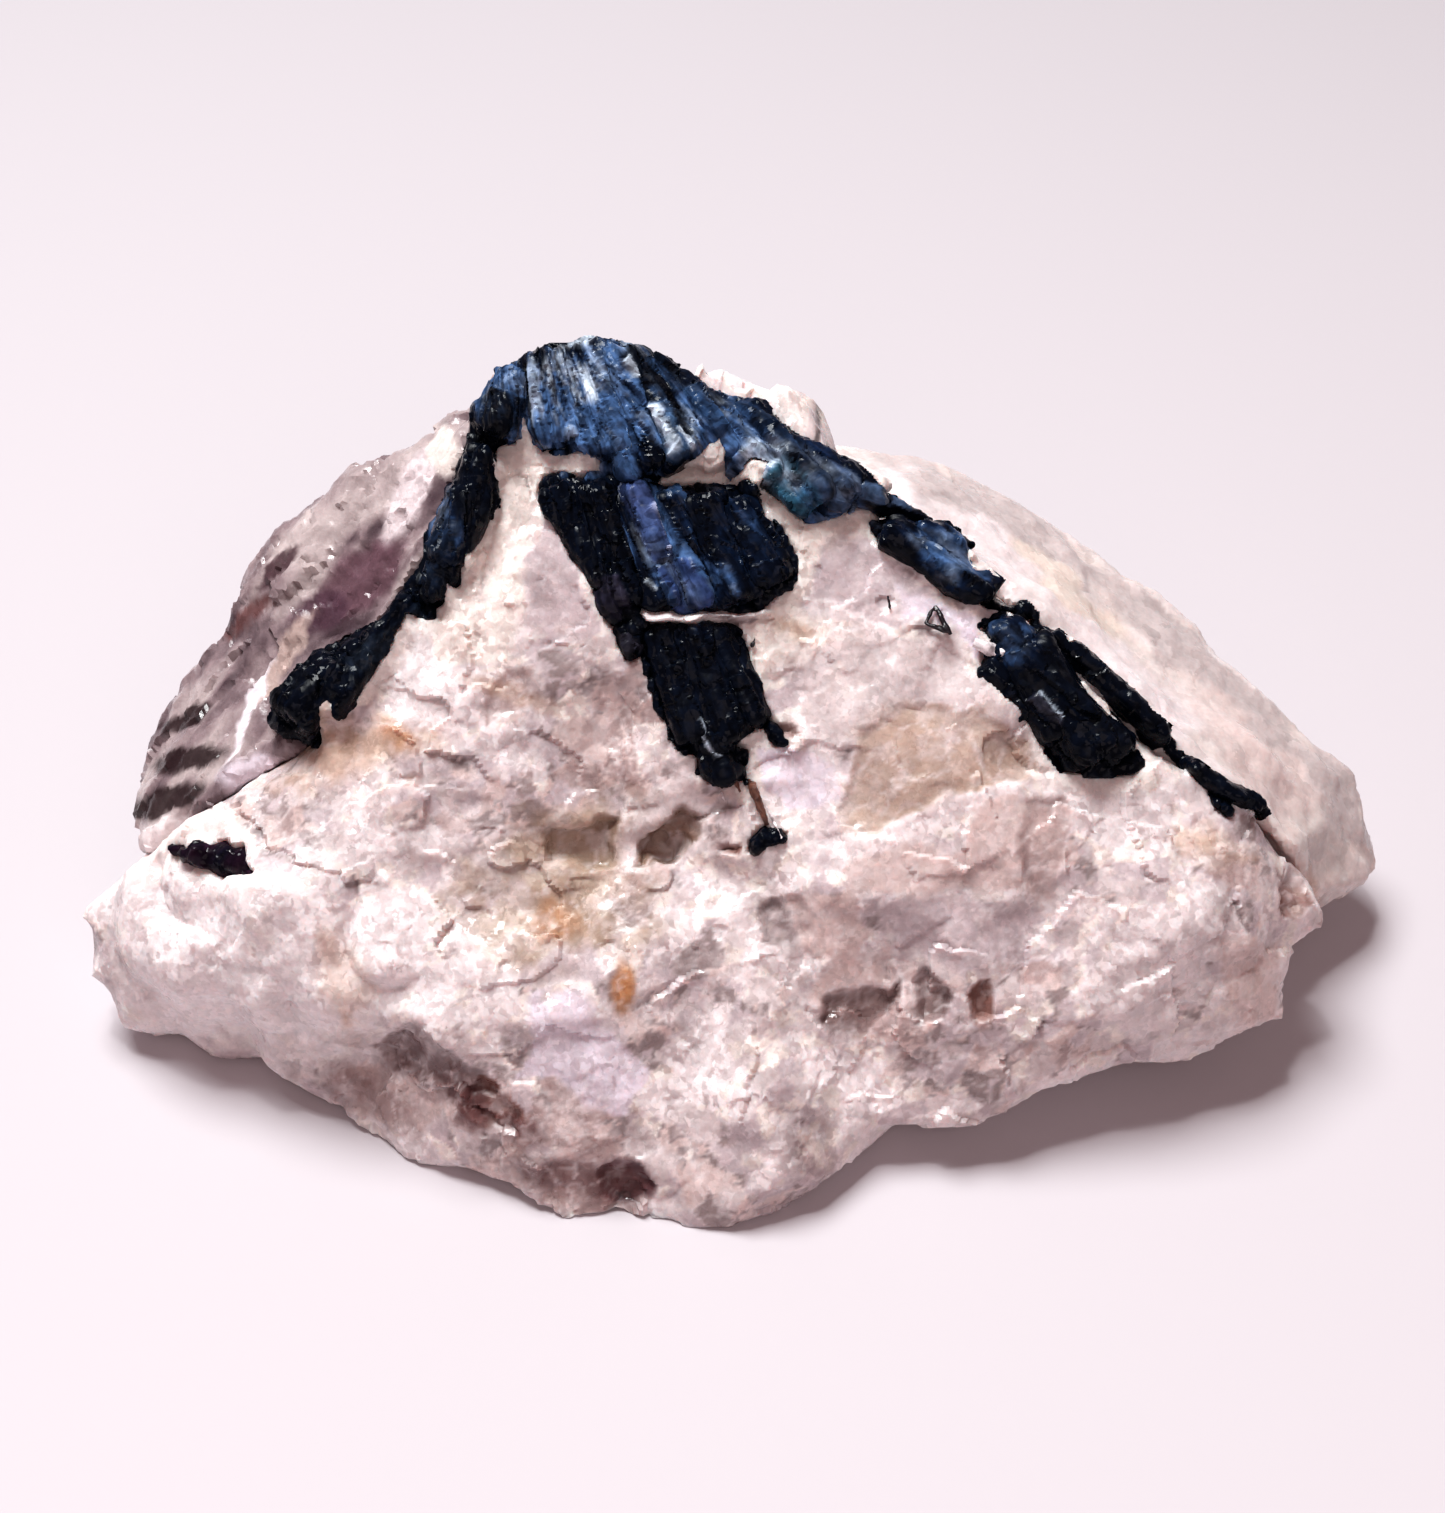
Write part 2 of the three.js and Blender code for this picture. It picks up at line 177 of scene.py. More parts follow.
CRYSTAL_OUTLINES = {  # (across, up)
    "crown": [(-10.8, 33.1), (-9.5, 34.8), (-8.3, 35.5), (-6.1, 36.1), (-4.9, 35.8), (-3.2, 35.2),
     (-1.4, 33.9), (0.8, 33.3), (2.1, 32), (4.5, 31), (5.7, 29.7), (7.9, 28.7), (4.7, 29.1), (2.7, 28.5),
     (0.9, 30), (1.4, 30.9), (0.4, 31.1), (-0.65, 30.1), (-0.3, 31.6), (-0.6, 32), (-1.2, 31.8),
     (-2.1, 30.9), (-3.5, 30), (-5.4, 30.4), (-5.8, 31.3), (-8, 31.4), (-8.8, 33.1), (-9.1, 31.8),
     (-10.8, 31.6)],
    "left_arm": [(-11, 32.2), (-9.8, 32), (-10.2, 30.7), (-9.8, 29.4), (-10.4, 27.9), (-11.2, 27.1),
     (-11.4, 25.9), (-12.1, 26.4), (-12.1, 25.2), (-12.9, 25.2), (-12.6, 28.4), (-12, 29.2)],
    "left_foot": [(-12.3, 28.8), (-12.4, 24.7), (-13.6, 25), (-14.4, 23.3), (-16, 20.7), (-16.2, 21.4),
     (-17, 21.4), (-17.2, 19.6), (-18, 19.8), (-19.1, 20.3), (-19, 21.2), (-18, 22.6), (-15.8, 23.9),
     (-14.4, 24.6), (-13.8, 25.7), (-12.8, 27)],
    "left_corner": [(-23.2, 15.3), (-22.4, 15.2), (-22.1, 15.5), (-21.5, 15.2), (-20.9, 15.6),
     (-20.4, 15.2), (-20, 15.4), (-19.9, 14.6), (-19.4, 14.2), (-20.4, 14.3), (-20.7, 14), (-21.5, 14.6),
     (-22.2, 14.7)],
    "centre_fan": [(-8.1, 29.4), (-7.9, 30.2), (-7.3, 30.4), (-6.6, 30.2), (-5.9, 30.4), (-4, 30.1),
     (-2.9, 29.8), (-1.7, 30), (-0.8, 29.8), (0.2, 30), (0.8, 29.7), (0.9, 28.5), (1.7, 28.1), (2.2, 27.2),
     (2.1, 26.1), (1.2, 25.4), (0.7, 24.8), (-3.8, 24.9), (-4, 24.6), (-5.2, 24.3), (-6, 26.2),
     (-6.7, 27.1), (-7.5, 28.5)],
    "centre_prism": [(-4.5, 24.8), (-4, 24.7), (-3.8, 24.35), (-0.3, 24.3), (0.3, 23.2), (0.9, 21.2),
     (1.75, 19.5), (1.35, 19.5), (1, 20.3), (0.1, 20), (-0.4, 19.7), (0.1, 19.4), (0.2, 18), (-0.6, 17.9),
     (-1.7, 18.4), (-1.6, 19), (-2.5, 19.3), (-3.1, 20.6), (-3.7, 22.6), (-4.1, 23.3)],
    "side_prism": [(-5.1, 24.3), (-4.2, 24.5), (-3.9, 23.2), (-4.5, 22.9), (-4.8, 23.4)],
    "right_upper": [(5.4, 28.4), (6.1, 28.6), (8.6, 28.5), (9.4, 27.8), (9.1, 27.3), (10.1, 26.1),
     (11.1, 25.8), (12.1, 24.8), (10.1, 25.1), (8.2, 25.6), (7.1, 26.9), (5.7, 27.5)],
    "right_lower": [(9.7, 24.2), (10.6, 24.8), (12.3, 24), (14.1, 21.5), (15.1, 20.7), (16.2, 18.8),
     (15.8, 18.4), (14.1, 18.4), (12.9, 18.5), (12.3, 19.2), (11.2, 21), (9.7, 22.5), (9.8, 23.3),
     (10.4, 23.7)],
    "right_rim": [(12, 24.7), (13.3, 23.5), (13.9, 23.5), (16.2, 21.3), (17.7, 19.5), (16.8, 19.5),
     (15.6, 20.7), (13.4, 22.5)],
    "right_tip": [(17.5, 19.4), (18.4, 18.9), (19.3, 18.2), (20, 17.8), (20.9, 17.45), (21.6, 16.8),
     (21.4, 16.65), (20.6, 17.15), (19.7, 17.35), (19.95, 16.75), (19.75, 16.65), (19.3, 17), (18.9, 17.8),
     (18.1, 18.6)],
    "needle": [(0.35, 15.2), (0.55, 15.9), (0.9, 16.2), (1.1, 16.1), (1.15, 15.85), (1.75, 15.95),
     (1.75, 15.7), (1.2, 15.55), (0.85, 15.6), (0.65, 15.15)],
}


def ragged(places):
    """Places shifted by fine noise."""
    return warped(places, 0.16, 0.7, 600)


def depth_inside(outline, places):
    """How deep each place lies inside a closed outline, and less than 0 outside."""
    x, y = places[:, 0], places[:, 1]
    inside = np.zeros(len(places), bool)
    nearest = np.full(len(places), np.inf)
    for (x0, y0), (x1, y1) in zip(outline, outline[1:] + outline[:1]):
        run, rise = x1 - x0, y1 - y0
        beside = (y0 > y) != (y1 > y)
        inside ^= beside & (x < x0 + (y - y0) * run / (rise or 1))
        share = np.clip(((x - x0) * run + (y - y0) * rise) / (run**2 + rise**2), 0, 1)
        nearest = np.minimum(nearest, np.hypot(x - x0 - share * run, y - y0 - share * rise))
    return np.where(inside, nearest, -nearest)


def in_patch(places, centre, half_size, turn):
    """How far each place is from the middle of a turned ellipse, where 1 is its edge."""
    angle = math.radians(turn)
    x, y = places[:, 0] - centre[0], places[:, 1] - centre[1]
    along = x * math.cos(angle) + y * math.sin(angle)
    beside = y * math.cos(angle) - x * math.sin(angle)
    return np.hypot(along / half_size[0], beside / half_size[1])


# Patches are ellipses, each as its centre, half size and turn.
WHITE_BLOBS = [  # white rock that shows through the crystals
    ((9.75, 27), (0.75, 0.6), -45),
    ((10.9, 25.6), (0.6, 0.5), -30),
    ((14.7, 21), (1.5, 0.2), -42),
    ((-16.6, 20.9), (0.4, 0.5), 0),
]
EDGE_GROWTH = 0.1  # outlines were drawn just inside the edges
OUTSIDE = -9.0  # the depth of places far outside


def near_to(outline, places, margin):
    """True for the places in the outline's box, widened by a margin."""
    low, high = np.min(outline, axis=0) - margin, np.max(outline, axis=0) + margin
    return ((places[:, :2] > low) & (places[:, :2] < high)).all(axis=1)


def crystal_depth(outline, places):
    """How deep each place lies inside a crystal's outline, outside the white blobs."""
    depth = depth_inside(outline, places) + EDGE_GROWTH
    for centre, half_size, turn in WHITE_BLOBS:
        depth = np.minimum(depth, (in_patch(places, centre, half_size, turn) - 1) * min(half_size))
    return depth


def depth_in_crystals(places):
    """How deep each place lies inside any crystal's outline."""
    edge = warped(places, 0.08, 0.9, 600)
    deepest = np.full(len(places), OUTSIDE)
    for outline in CRYSTAL_OUTLINES.values():
        near = near_to(outline, edge, 2)
        deepest[near] = np.maximum(deepest[near], crystal_depth(outline, edge[near]))
    return deepest


LEAST_OUT = -2.0  # a surface further in than this counts as here
RAY_START = 15  # clear of every solid


def solid_of(node_name):
    """A CAD solid as its corners and its faces."""
    mesh = frame["nodes"][node_name].data
    return [vertex.co for vertex in mesh.vertices], [list(face.vertices) for face in mesh.polygons]


def joined(solids):
    """Solids, each as its corners and its faces, as one."""
    corners = []
    faces = []
    for solid_corners, solid_faces in solids:
        faces += [[len(corners) + index for index in face] for face in solid_faces]
        corners += [tuple(corner) for corner in solid_corners]
    return corners, faces


SURFACE = BVHTree.FromPolygons(*joined(map(solid_of, frame["nodes"])))


def surface_out(across, up):
    """How far out the solids' surface lies at a place on the front face."""
    hit = SURFACE.ray_cast(Vector(on_face(across, up, RAY_START)), Vector(-FACE_AXES[2]))[0]
    if hit is None:
        return LEAST_OUT
    return max(face_places(np.array(hit)[None])[0, 2], LEAST_OUT)


# -------- mesh tools

BRIGHTEST = 0.95  # no stored colour is brighter


def new_piece(name, data):
    piece = bpy.data.objects.new(name, data)
    bpy.context.scene.collection.objects.link(piece)
    return piece


def remeshed(name, solids, voxel, smoothing):
    """Closed solids made into one fine and even mesh."""
    corners, faces = joined(solids)
    mesh = bpy.data.meshes.new(name)
    mesh.from_pydata(corners, [], faces)
    piece = new_piece(name, mesh)
    remesh = piece.modifiers.new("remesh", "REMESH")
    remesh.mode = "VOXEL"
    remesh.voxel_size = voxel
    smooth = piece.modifiers.new("smooth", "SMOOTH")
    smooth.iterations = smoothing
    smooth.factor = 0.5
    graph = bpy.context.evaluated_depsgraph_get()
    mesh = bpy.data.meshes.new_from_object(piece.evaluated_get(graph))
    mesh.name = piece.name
    piece.modifiers.clear()
    piece.data = mesh
    return piece


def slab(outline, step=0.2, rise=0.1, thickness=1.3):
    """A closed slab that fills an outline on the front face and follows the solids' surface."""
    low, high = np.min(outline, axis=0) - 2 * step, np.max(outline, axis=0) + 2 * step
    columns, rows = (np.arange(low[n], high[n], step) for n in range(2))
    across, up = np.meshgrid(columns, rows, indexing="ij")
    middles = np.stack([across.ravel() + step / 2, up.ravel() + step / 2, 0 * up.ravel()], axis=1)
    filled = (crystal_depth(outline, ragged(middles)) > 0).reshape(across.shape)
    out = np.array([surface_out(*place) for place in zip(across.ravel(), up.ravel())]) + rise
    top = np.stack([across.ravel(), up.ravel(), out], axis=1)
    corners = np.concatenate([top, top - [0, 0, thickness]])
    under = across.size
    index = np.arange(under).reshape(across.shape)
    faces = []
    for i, j in zip(*np.nonzero(filled)):
        ring = [index[i, j], index[i + 1, j], index[i + 1, j + 1], index[i, j + 1]]
        faces.append(ring)
        faces.append([corner + under for corner in reversed(ring)])
        neighbours = [filled[i, j - 1], filled[i + 1, j], filled[i, j + 1], filled[i - 1, j]]
        for side, taken in enumerate(neighbours):
            if not taken:
                start, end = ring[side], ring[(side + 1) % 4]
                faces.append([end, start, start + under, end + under])
    return FOOT + MM * corners @ FACE_AXES, faces


def refine(piece, chosen):
    """Splits the edges between chosen vertices in two."""
    cage = bmesh.new()
    cage.from_mesh(piece.data)
    edges = [edge for edge in cage.edges if all(chosen[end.index] for end in edge.verts)]
    bmesh.ops.subdivide_edges(cage, edges=edges, cuts=1, use_grid_fill=True)
    bmesh.ops.triangulate(cage, faces=[face for face in cage.faces if len(face.verts) > 4])
    cage.to_mesh(piece.data)
    cage.free()


def vertex_values(piece, what):
    flat = np.zeros(len(piece.data.vertices) * 3, np.float32)
    piece.data.vertices.foreach_get(what, flat)
    return flat.reshape(-1, 3).astype(float)


def points_of(piece):
    return vertex_values(piece, "co")


def places_of(piece):
    return face_places(points_of(piece))


def normals_of(piece):
    return vertex_values(piece, "normal")


def place_points(piece, points):
    piece.data.vertices.foreach_set("co", points.astype(np.float32).ravel())
    piece.data.update()


def move_out(piece, distance_mm):
    """Moves each vertex out along its normal, but never below the ground."""
    moved = points_of(piece) + normals_of(piece) * (MM * distance_mm)[:, None]
    moved[:, 2] = np.maximum(moved[:, 2], 0)
    place_points(piece, moved)


def store(piece, name, kind, key, values):
    """Keeps a value for each vertex, which a material reads by its name."""
    attribute = piece.data.attributes.new(name, kind, "POINT")
    attribute.data.foreach_set(key, values.astype(np.float32).ravel())


def dressed(piece, colour, clear, material, node_name):
    """Gives a piece its colours and material, and puts it in the place of its CAD solid."""
    tint = np.clip(colour, 0, BRIGHTEST)
    store(piece, "tint", "FLOAT_COLOR", "color", np.hstack([tint, np.ones((len(tint), 1))]))
    store(piece, "clear", "FLOAT", "value", clear)
    piece.data.materials.append(material)
    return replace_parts(piece, node_name)


# -------- materials


def connect(tree, target, inputs):
    """Sets a shader node's inputs, each to a plain value or to another node's output."""
    for key, value in inputs.items():
        if isinstance(value, bpy.types.NodeSocket):
            tree.links.new(value, target.inputs[key])
        else:
            target.inputs[key].default_value = value


def node(tree, kind, inputs=None, **settings):
    """Adds a shader node."""
    made = tree.nodes.new("ShaderNode" + kind)
    for key, value in settings.items():
        setattr(made, key, value)
    connect(tree, made, inputs or {})
    return made


def new_material(name):
    material = bpy.data.materials.new(name)
    material.use_nodes = True
    return material, material.node_tree, material.node_tree.nodes["Principled BSDF"]


def fine_noise(tree, wavelength_mm, detail):
    """Noise at a real size, fixed to the object."""
    place = node(tree, "TexCoord").outputs["Object"]
    settings = {"Vector": place, "Scale": 1 / (MM * wavelength_mm), "Detail": detail}
    return node(tree, "TexNoise", settings).outputs["Fac"]


def stored(tree, name):
    """A value that the mesh keeps for each vertex, as a shader node."""
    return node(tree, "Attribute", attribute_name=name)


def vector_math(tree, operation, inputs):
    return node(tree, "VectorMath", inputs, operation=operation).outputs["Vector"]


def product(tree, one, other):
    """Two plain numbers multiplied."""
    return node(tree, "Math", {0: one, 1: other}, operation="MULTIPLY").outputs[0]


def spread(tree, value, low, high, from_low=0.3, from_high=0.7):
    """Maps a noise value to a range."""
    settings = {"Value": value, "From Min": from_low, "From Max": from_high, "To Min": low, "To Max": high}
    return node(tree, "MapRange", settings).outputs["Result"]


def between(tree, share, low, high):
    """The low value where the share is 0, and the high one where it is 1."""
    return spread(tree, share, low, high, 0.0, 1.0)


def random_way(tree, colour, factor):
    """A random colour taken as a vector about zero, and scaled."""
    about = vector_math(tree, "SUBTRACT", {0: colour, 1: (0.5, 0.5, 0.5)})
    return vector_math(tree, "SCALE", {0: about, "Scale": factor})


SMALLER = 2.6  # how many times smaller the small grains are than the large ones
STEADY_TILT = 0.06  # of the grains of opaque stone
LIGHT_SPREAD = (1.0, 0.62, 0.55)  # how far red, green and blue light spread inside


def rock_material(name, grain_mm, facets, subsurface, blur_mm, dull, glossy):
    """Stone coloured by its mesh, with small flat grains that catch the light.

    Facets says how far the grains of clear stone tilt, and blur how far light spreads inside. Dull and
    glossy are the roughness of opaque and of clear stone.
    """
    material, tree, surface = new_material(name)
    tint = stored(tree, "tint").outputs["Color"]
    clear = stored(tree, "clear").outputs["Fac"]
    place = node(tree, "TexCoord").outputs["Object"]
    wobble = node(tree, "TexNoise", {"Vector": place, "Scale": 2 / (MM * grain_mm), "Detail": 3.0})
    shift = random_way(tree, wobble.outputs["Color"], MM * grain_mm)
    bent = vector_math(tree, "ADD", {0: place, 1: shift})
    large = node(tree, "TexVoronoi", {"Vector": bent, "Scale": 1 / (MM * grain_mm)}).outputs["Color"]
    small = node(tree, "TexVoronoi", {"Vector": bent, "Scale": SMALLER / (MM * grain_mm)}).outputs["Color"]
    normal = node(tree, "NewGeometry").outputs["Normal"]
    for cells, share in ((large, 0.5), (small, 1.0)):
        tilt = random_way(tree, cells, between(tree, clear, facets * share, STEADY_TILT))
        normal = vector_math(tree, "ADD", {0: normal, 1: tilt})
    flat = vector_math(tree, "NORMALIZE", {0: normal})
    fleck = fine_noise(tree, 0.2, 5)
    bump = node(tree, "Bump", {"Height": fleck, "Normal": flat, "Strength": 0.28, "Distance": MM * 0.06})
    shade = spread(tree, fleck, 0.92, 1.05)
    for cells, share in ((large, 0.05), (small, 0.10)):
        one = node(tree, "SeparateColor", {"Color": cells}).outputs["Green"]
        shade = product(tree, shade, between(tree, one, 1 - share, 1 + 0.5 * share))
    gloss = node(tree, "SeparateColor", {"Color": small}).outputs["Blue"]
    few_glints = spread(tree, gloss, 1.3, 0.35, 0.6, 0.8)
    connect(tree, surface, {
        "Base Color": vector_math(tree, "MULTIPLY", {0: tint, 1: shade}),
        "Roughness": product(tree, between(tree, clear, dull, glossy), few_glints),
        "Normal": bump.outputs["Normal"], "IOR": 1.54, "Specular IOR Level": 0.35,
        "Subsurface Weight": subsurface, "Subsurface Radius": LIGHT_SPREAD, "Subsurface Scale": MM * blur_mm,
    })
    return material


LINE_MM = 0.14  # width of the lines along a crystal
CHIP_MM = 0.22  # width of its small chips


def tourmaline_material():
    """Dark glassy crystal coloured by its mesh, with lines along its length and small chips."""
    material, tree, surface = new_material("tourmaline")
    tint = stored(tree, "tint").outputs["Color"]
    dusty = stored(tree, "clear").outputs["Fac"]
    way = stored(tree, "way").outputs["Vector"]
    drawn_out = vector_math(tree, "MULTIPLY", {0: way, 1: (1, 1, 0.06)})
    line = node(tree, "TexNoise", {"Vector": drawn_out, "Scale": 1 / LINE_MM, "Detail": 2.0}).outputs["Fac"]
    longer = vector_math(tree, "MULTIPLY", {0: way, 1: (1, 1, 0.5)})
    chips = node(tree, "TexVoronoi", {"Vector": longer, "Scale": 1 / CHIP_MM}).outputs["Color"]
    crumb = fine_noise(tree, 0.4, 2)
    normal = node(tree, "NewGeometry").outputs["Normal"]
    tilted = vector_math(tree, "ADD", {0: normal, 1: random_way(tree, chips, 0.5)})
    flat = vector_math(tree, "NORMALIZE", {0: tilted})
    bump = node(tree, "Bump", {"Height": line, "Normal": flat, "Strength": 0.55, "Distance": MM * 0.05})
    shade = product(tree, spread(tree, line, 0.7, 1.4), spread(tree, crumb, 0.6, 1.5))
    connect(tree, surface, {
        "Base Color": vector_math(tree, "MULTIPLY", {0: tint, 1: shade}),
        "Roughness": between(tree, dusty, 0.06, 0.36),
        "Normal": bump.outputs["Normal"], "IOR": 1.4, "Specular IOR Level": 0.17,
    })
    return material


# -------- the minerals' colours

# PALE to HONEY are quartz.
ALBITE = (0.79, 0.70, 0.705)
CREAM = (0.82, 0.725, 0.685)
PALE = (0.65, 0.555, 0.555)
GREY = (0.31, 0.24, 0.24)
LILAC = (0.55, 0.455, 0.475)
MAUVE = (0.45, 0.33, 0.32)
PINK = (0.65, 0.51, 0.49)
BROWN_GREY = (0.22, 0.145, 0.14)
BROWN = (0.24, 0.12, 0.10)
OLIVE = (0.21, 0.125, 0.09)
HONEY = (0.49, 0.36, 0.30)
RUST = (0.50, 0.24, 0.11)
PEACH = (0.58, 0.41, 0.32)
TAN = (0.42, 0.31, 0.24)
DARK_MICA = (0.12, 0.05, 0.06)
PALE_LILAC = (0.74, 0.65, 0.72)
UMBER = (0.15, 0.07, 0.07)
SHADE = (0.02, 0.008, 0.01)

# Grains of one mineral on the front face: colour, clearness from 0 to 1, and outline.
FRONT_GRAINS = [
    # white rock round the crystals
    (CREAM, 0, [(-9, 32.6), (-11, 27), (-12.6, 23), (-9.4, 22.4), (-8.6, 25), (-8.6, 29), (-7.4, 30.8),
     (1, 31), (1.2, 29.8), (4.6, 28.8), (9.4, 28.8), (3.2, 27.2), (2.6, 25), (4.6, 23.6), (0.4, 22.4),
     (0.6, 24.6), (2.2, 26), (2, 28.2), (0.6, 30), (-7.8, 30.6)]),
    # quartz to the left of the fan
    (LILAC, 0.9, [(-7.7, 28.8), (-7, 27.5), (-5.4, 24.1), (-6.3, 23.7), (-8.7, 23.4), (-8.4, 25.1),
     (-8.8, 26.9)]),
    (MAUVE, 0.8, [(-10.4, 21.7), (-9.6, 22.4), (-8.3, 22.4), (-8.2, 21.1), (-10, 20.1)]),
    # quartz to the right of the fan
    (LILAC, 0.9, [(3, 26.9), (3.6, 27.8), (4.9, 27.8), (6.6, 26.7), (8.8, 24.8), (6.6, 24.3), (4.4, 24.5),
     (3.1, 25.3)]),
    (PALE_LILAC, 0.6, [(6.2, 26), (9.4, 24.6), (9.8, 22.8), (8.4, 24.2), (6.4, 24.6)]),
    # pale quartz above the pane, then grains beside and under the centre prism
    (PALE, 0.8, [(1.9, 23.4), (4.6, 23.8), (8.4, 23.9), (9.4, 22.4), (10.9, 20.9), (7.6, 21.3), (4.7, 19.8),
     (3.6, 19.8), (2.6, 21)]),
    (BROWN, 0.7, [(0.9, 20.6), (2.4, 20.6), (2.2, 19.8), (1.2, 19.8)]),
    (PALE_LILAC, 0.7, [(0.5, 19.2), (2.4, 19.5), (3.5, 18.9), (3.9, 17.3), (3, 16.7), (2, 16.8),
     (0.9, 17.7)]),
    (PALE, 0.8, [(-5.2, 14.5), (-4.9, 16.5), (-2, 18.5), (-1.6, 16.9), (-4, 15.9), (-4.7, 14.4)]),
    (OLIVE, 1, [(-7.8, 16.4), (-6.4, 16.2), (-5.9, 16.7), (-4.9, 16.7), (-4.9, 14.6), (-6.1, 14.5),
     (-8, 14.7)]),
    (OLIVE, 1, [(-4.1, 15.6), (-2.7, 16.7), (-1.4, 16.7), (-2.7, 14.7), (-4.2, 14.5)]),
    (BROWN, 0.8, [(-1.3, 15.7), (-0.2, 15.8), (-0.3, 15.2), (-1.2, 15.1)]),
    # the yellowish pane and the brownish quartz under it
    (HONEY, 1, [(4.2, 18.3), (4.7, 19.8), (5.6, 20.8), (7.6, 21.3), (9.8, 20.8), (11.8, 19.7), (12.1, 18.5),
     (10.8, 17.8), (8, 17.3), (5.6, 16), (4.1, 15.8), (3.7, 17.1)]),
    (PINK, 0.9, [(3.8, 14.6), (4.9, 15.6), (6.4, 16.4), (6.6, 15.3), (8.8, 15.3), (9.2, 17.3), (13.2, 17.1),
     (12.4, 13.5), (8.4, 13.7), (4.4, 13.7)]),
    (MAUVE, 0.9, [(11.4, 17.4), (12.8, 17.4), (13.2, 16.4), (12.2, 13.4), (11.2, 13.8), (11, 15.5)]),
    (ALBITE, 0.2, [(2.6, 15.7), (5, 16), (8, 17.4), (10.9, 18), (11, 17.6), (5.4, 15.3), (2.8, 15.1)]),
    # lower left
    (PALE_LILAC, 0.3, [(-8.2, 9.9), (-6.4, 9.9), (-5.6, 8.5), (-3.4, 6.4), (-4.8, 4.9), (-6.2, 5.3),
     (-7.2, 6.3), (-9, 5.9), (-8.2, 7.7)]),
    (GREY, 0.9, [(-15, 7.5), (-13.6, 8.5), (-12, 8.1), (-9.6, 5.7), (-10.4, 5.2), (-14.4, 6.5)]),
    (BROWN, 0.9, [(-11.2, 5.9), (-10, 6.3), (-8.8, 5.1), (-8.6, 3.9), (-10, 3.7), (-11, 4.5)]),
    (PINK, 0.8, [(-17, 6.2), (-14.4, 6.4), (-11.6, 5.2), (-13, 3.6), (-16, 4.6)]),
    (MAUVE, 0.8, [(-9.6, 3.1), (-4, 2.7), (-3.4, 1.6), (-4.4, 0.6), (-8, 0.7)]),
    (DARK_MICA, 0.6, [(-5.6, 2.7), (-3.8, 2.9), (-3.4, 1.4), (-4.6, 0.8), (-5.6, 1.4)]),
    # lower middle and right
    (GREY, 0.8, [(0.5, 13.1), (2.4, 13.5), (2.9, 12.1), (2, 11.1), (1, 11.5)]),
    (PINK, 0.9, [(1.8, 13.4), (4.4, 13.9), (5.2, 12.2), (4.7, 10.6), (5.6, 9.2), (4, 8.2), (2.8, 9.4),
     (3.4, 10.8), (2.4, 11.4)]),
    (LILAC, 0.9, [(5.4, 13.4), (9, 13.6), (11.8, 13.2), (11, 11.2), (8.8, 10.4), (7.4, 11), (6, 10.6),
     (5.6, 12)]),
    (BROWN_GREY, 0.8, [(3.4, 9.3), (6.2, 10.3), (6.2, 8.5), (4.8, 7.7), (3.6, 7.7)]),
    (BROWN_GREY, 0.9, [(6.6, 10.1), (7.4, 10.7), (8.3, 9.5), (8, 8.3), (6.6, 8.1)]),
    (BROWN, 0.9, [(8.9, 9.7), (9.8, 10.1), (10.3, 9.5), (9.8, 8.5), (9, 8.5)]),
    (ALBITE, 0.1, [(13.6, 9.6), (16, 13.4), (19, 12.4), (18.8, 9), (16, 7.6)]),
    # right end
    (PINK, 1, [(19.2, 11.5), (20, 12.1), (22, 11.5), (22.3, 9.9), (21.8, 8.1), (20.2, 7.9), (19.7, 9.3)]),
    (BROWN, 0.9, [(21.8, 14.5), (23.2, 14.1), (23.6, 13.1), (22.8, 12.1), (22, 12.5)]),
]


def mixed(colour, other, share):
    """One colour for all places, or one for each, with a share of another laid over it."""
    return colour + (np.array(other) - colour) * share[:, None]


def painted(places, colour, clear, patches):
    """Lays soft patches of one mineral over the rest."""
    for *patch, kind, clearness in patches:
        inside = faded(in_patch(places, *patch), 0.8, 1.2) * (places[:, 2] > -9)
        colour = mixed(colour, kind, inside * 0.92)
        clear = clear + (clearness - clear) * inside
    return colour, clear


STAINS_AND_SHADE = [  # stains, and painted shade under the lower lip: patch, colour, strength
    ((-7.2, 13.8), (4.2, 3.2), 10, TAN, 0.9),
    ((-7.6, 12.4), (1, 1), 20, RUST, 0.6),
    ((-4.7, 9.9), (0.5, 0.9), 0, RUST, 1),
    ((-15.8, 10.2), (1.4, 2.2), 10, PEACH, 0.9),
    ((-16.4, 11.6), (0.5, 0.8), 20, RUST, 0.7),
    ((-15.7, 8.7), (0.5, 0.6), 0, RUST, 1),
    ((-16.2, 19.4), (3.6, 1.6), 0, PEACH, 0.8),
    ((-14, 20.2), (1.6, 0.5), -40, RUST, 0.6),
    ((18.8, 15.6), (1.8, 0.8), -20, PEACH, 0.8),
    ((-9.4, 21.6), (2.4, 0.4), -20, PEACH, 0.6),
    ((2, 24.2), (1.2, 0.4), -25, PEACH, 0.7),
    ((-10.2, 4.7), (2.1, 1.1), -30, UMBER, 0.95),  # brown quartz and painted shade low on the left, under the lip
    ((-13.4, 6.8), (2.6, 1.1), -30, UMBER, 0.6),
    ((-15.6, 5.3), (3.6, 1.2), -22, UMBER, 0.6),
    ((-4.6, 1.5), (1.6, 1), -10, UMBER, 0.95),
    # painted shade low at the front
    ((3, 3.4), (1, 1.6), 20, UMBER, 0.45),
    ((-7.2, 2.2), (2.6, 0.8), -5, UMBER, 0.7),
]
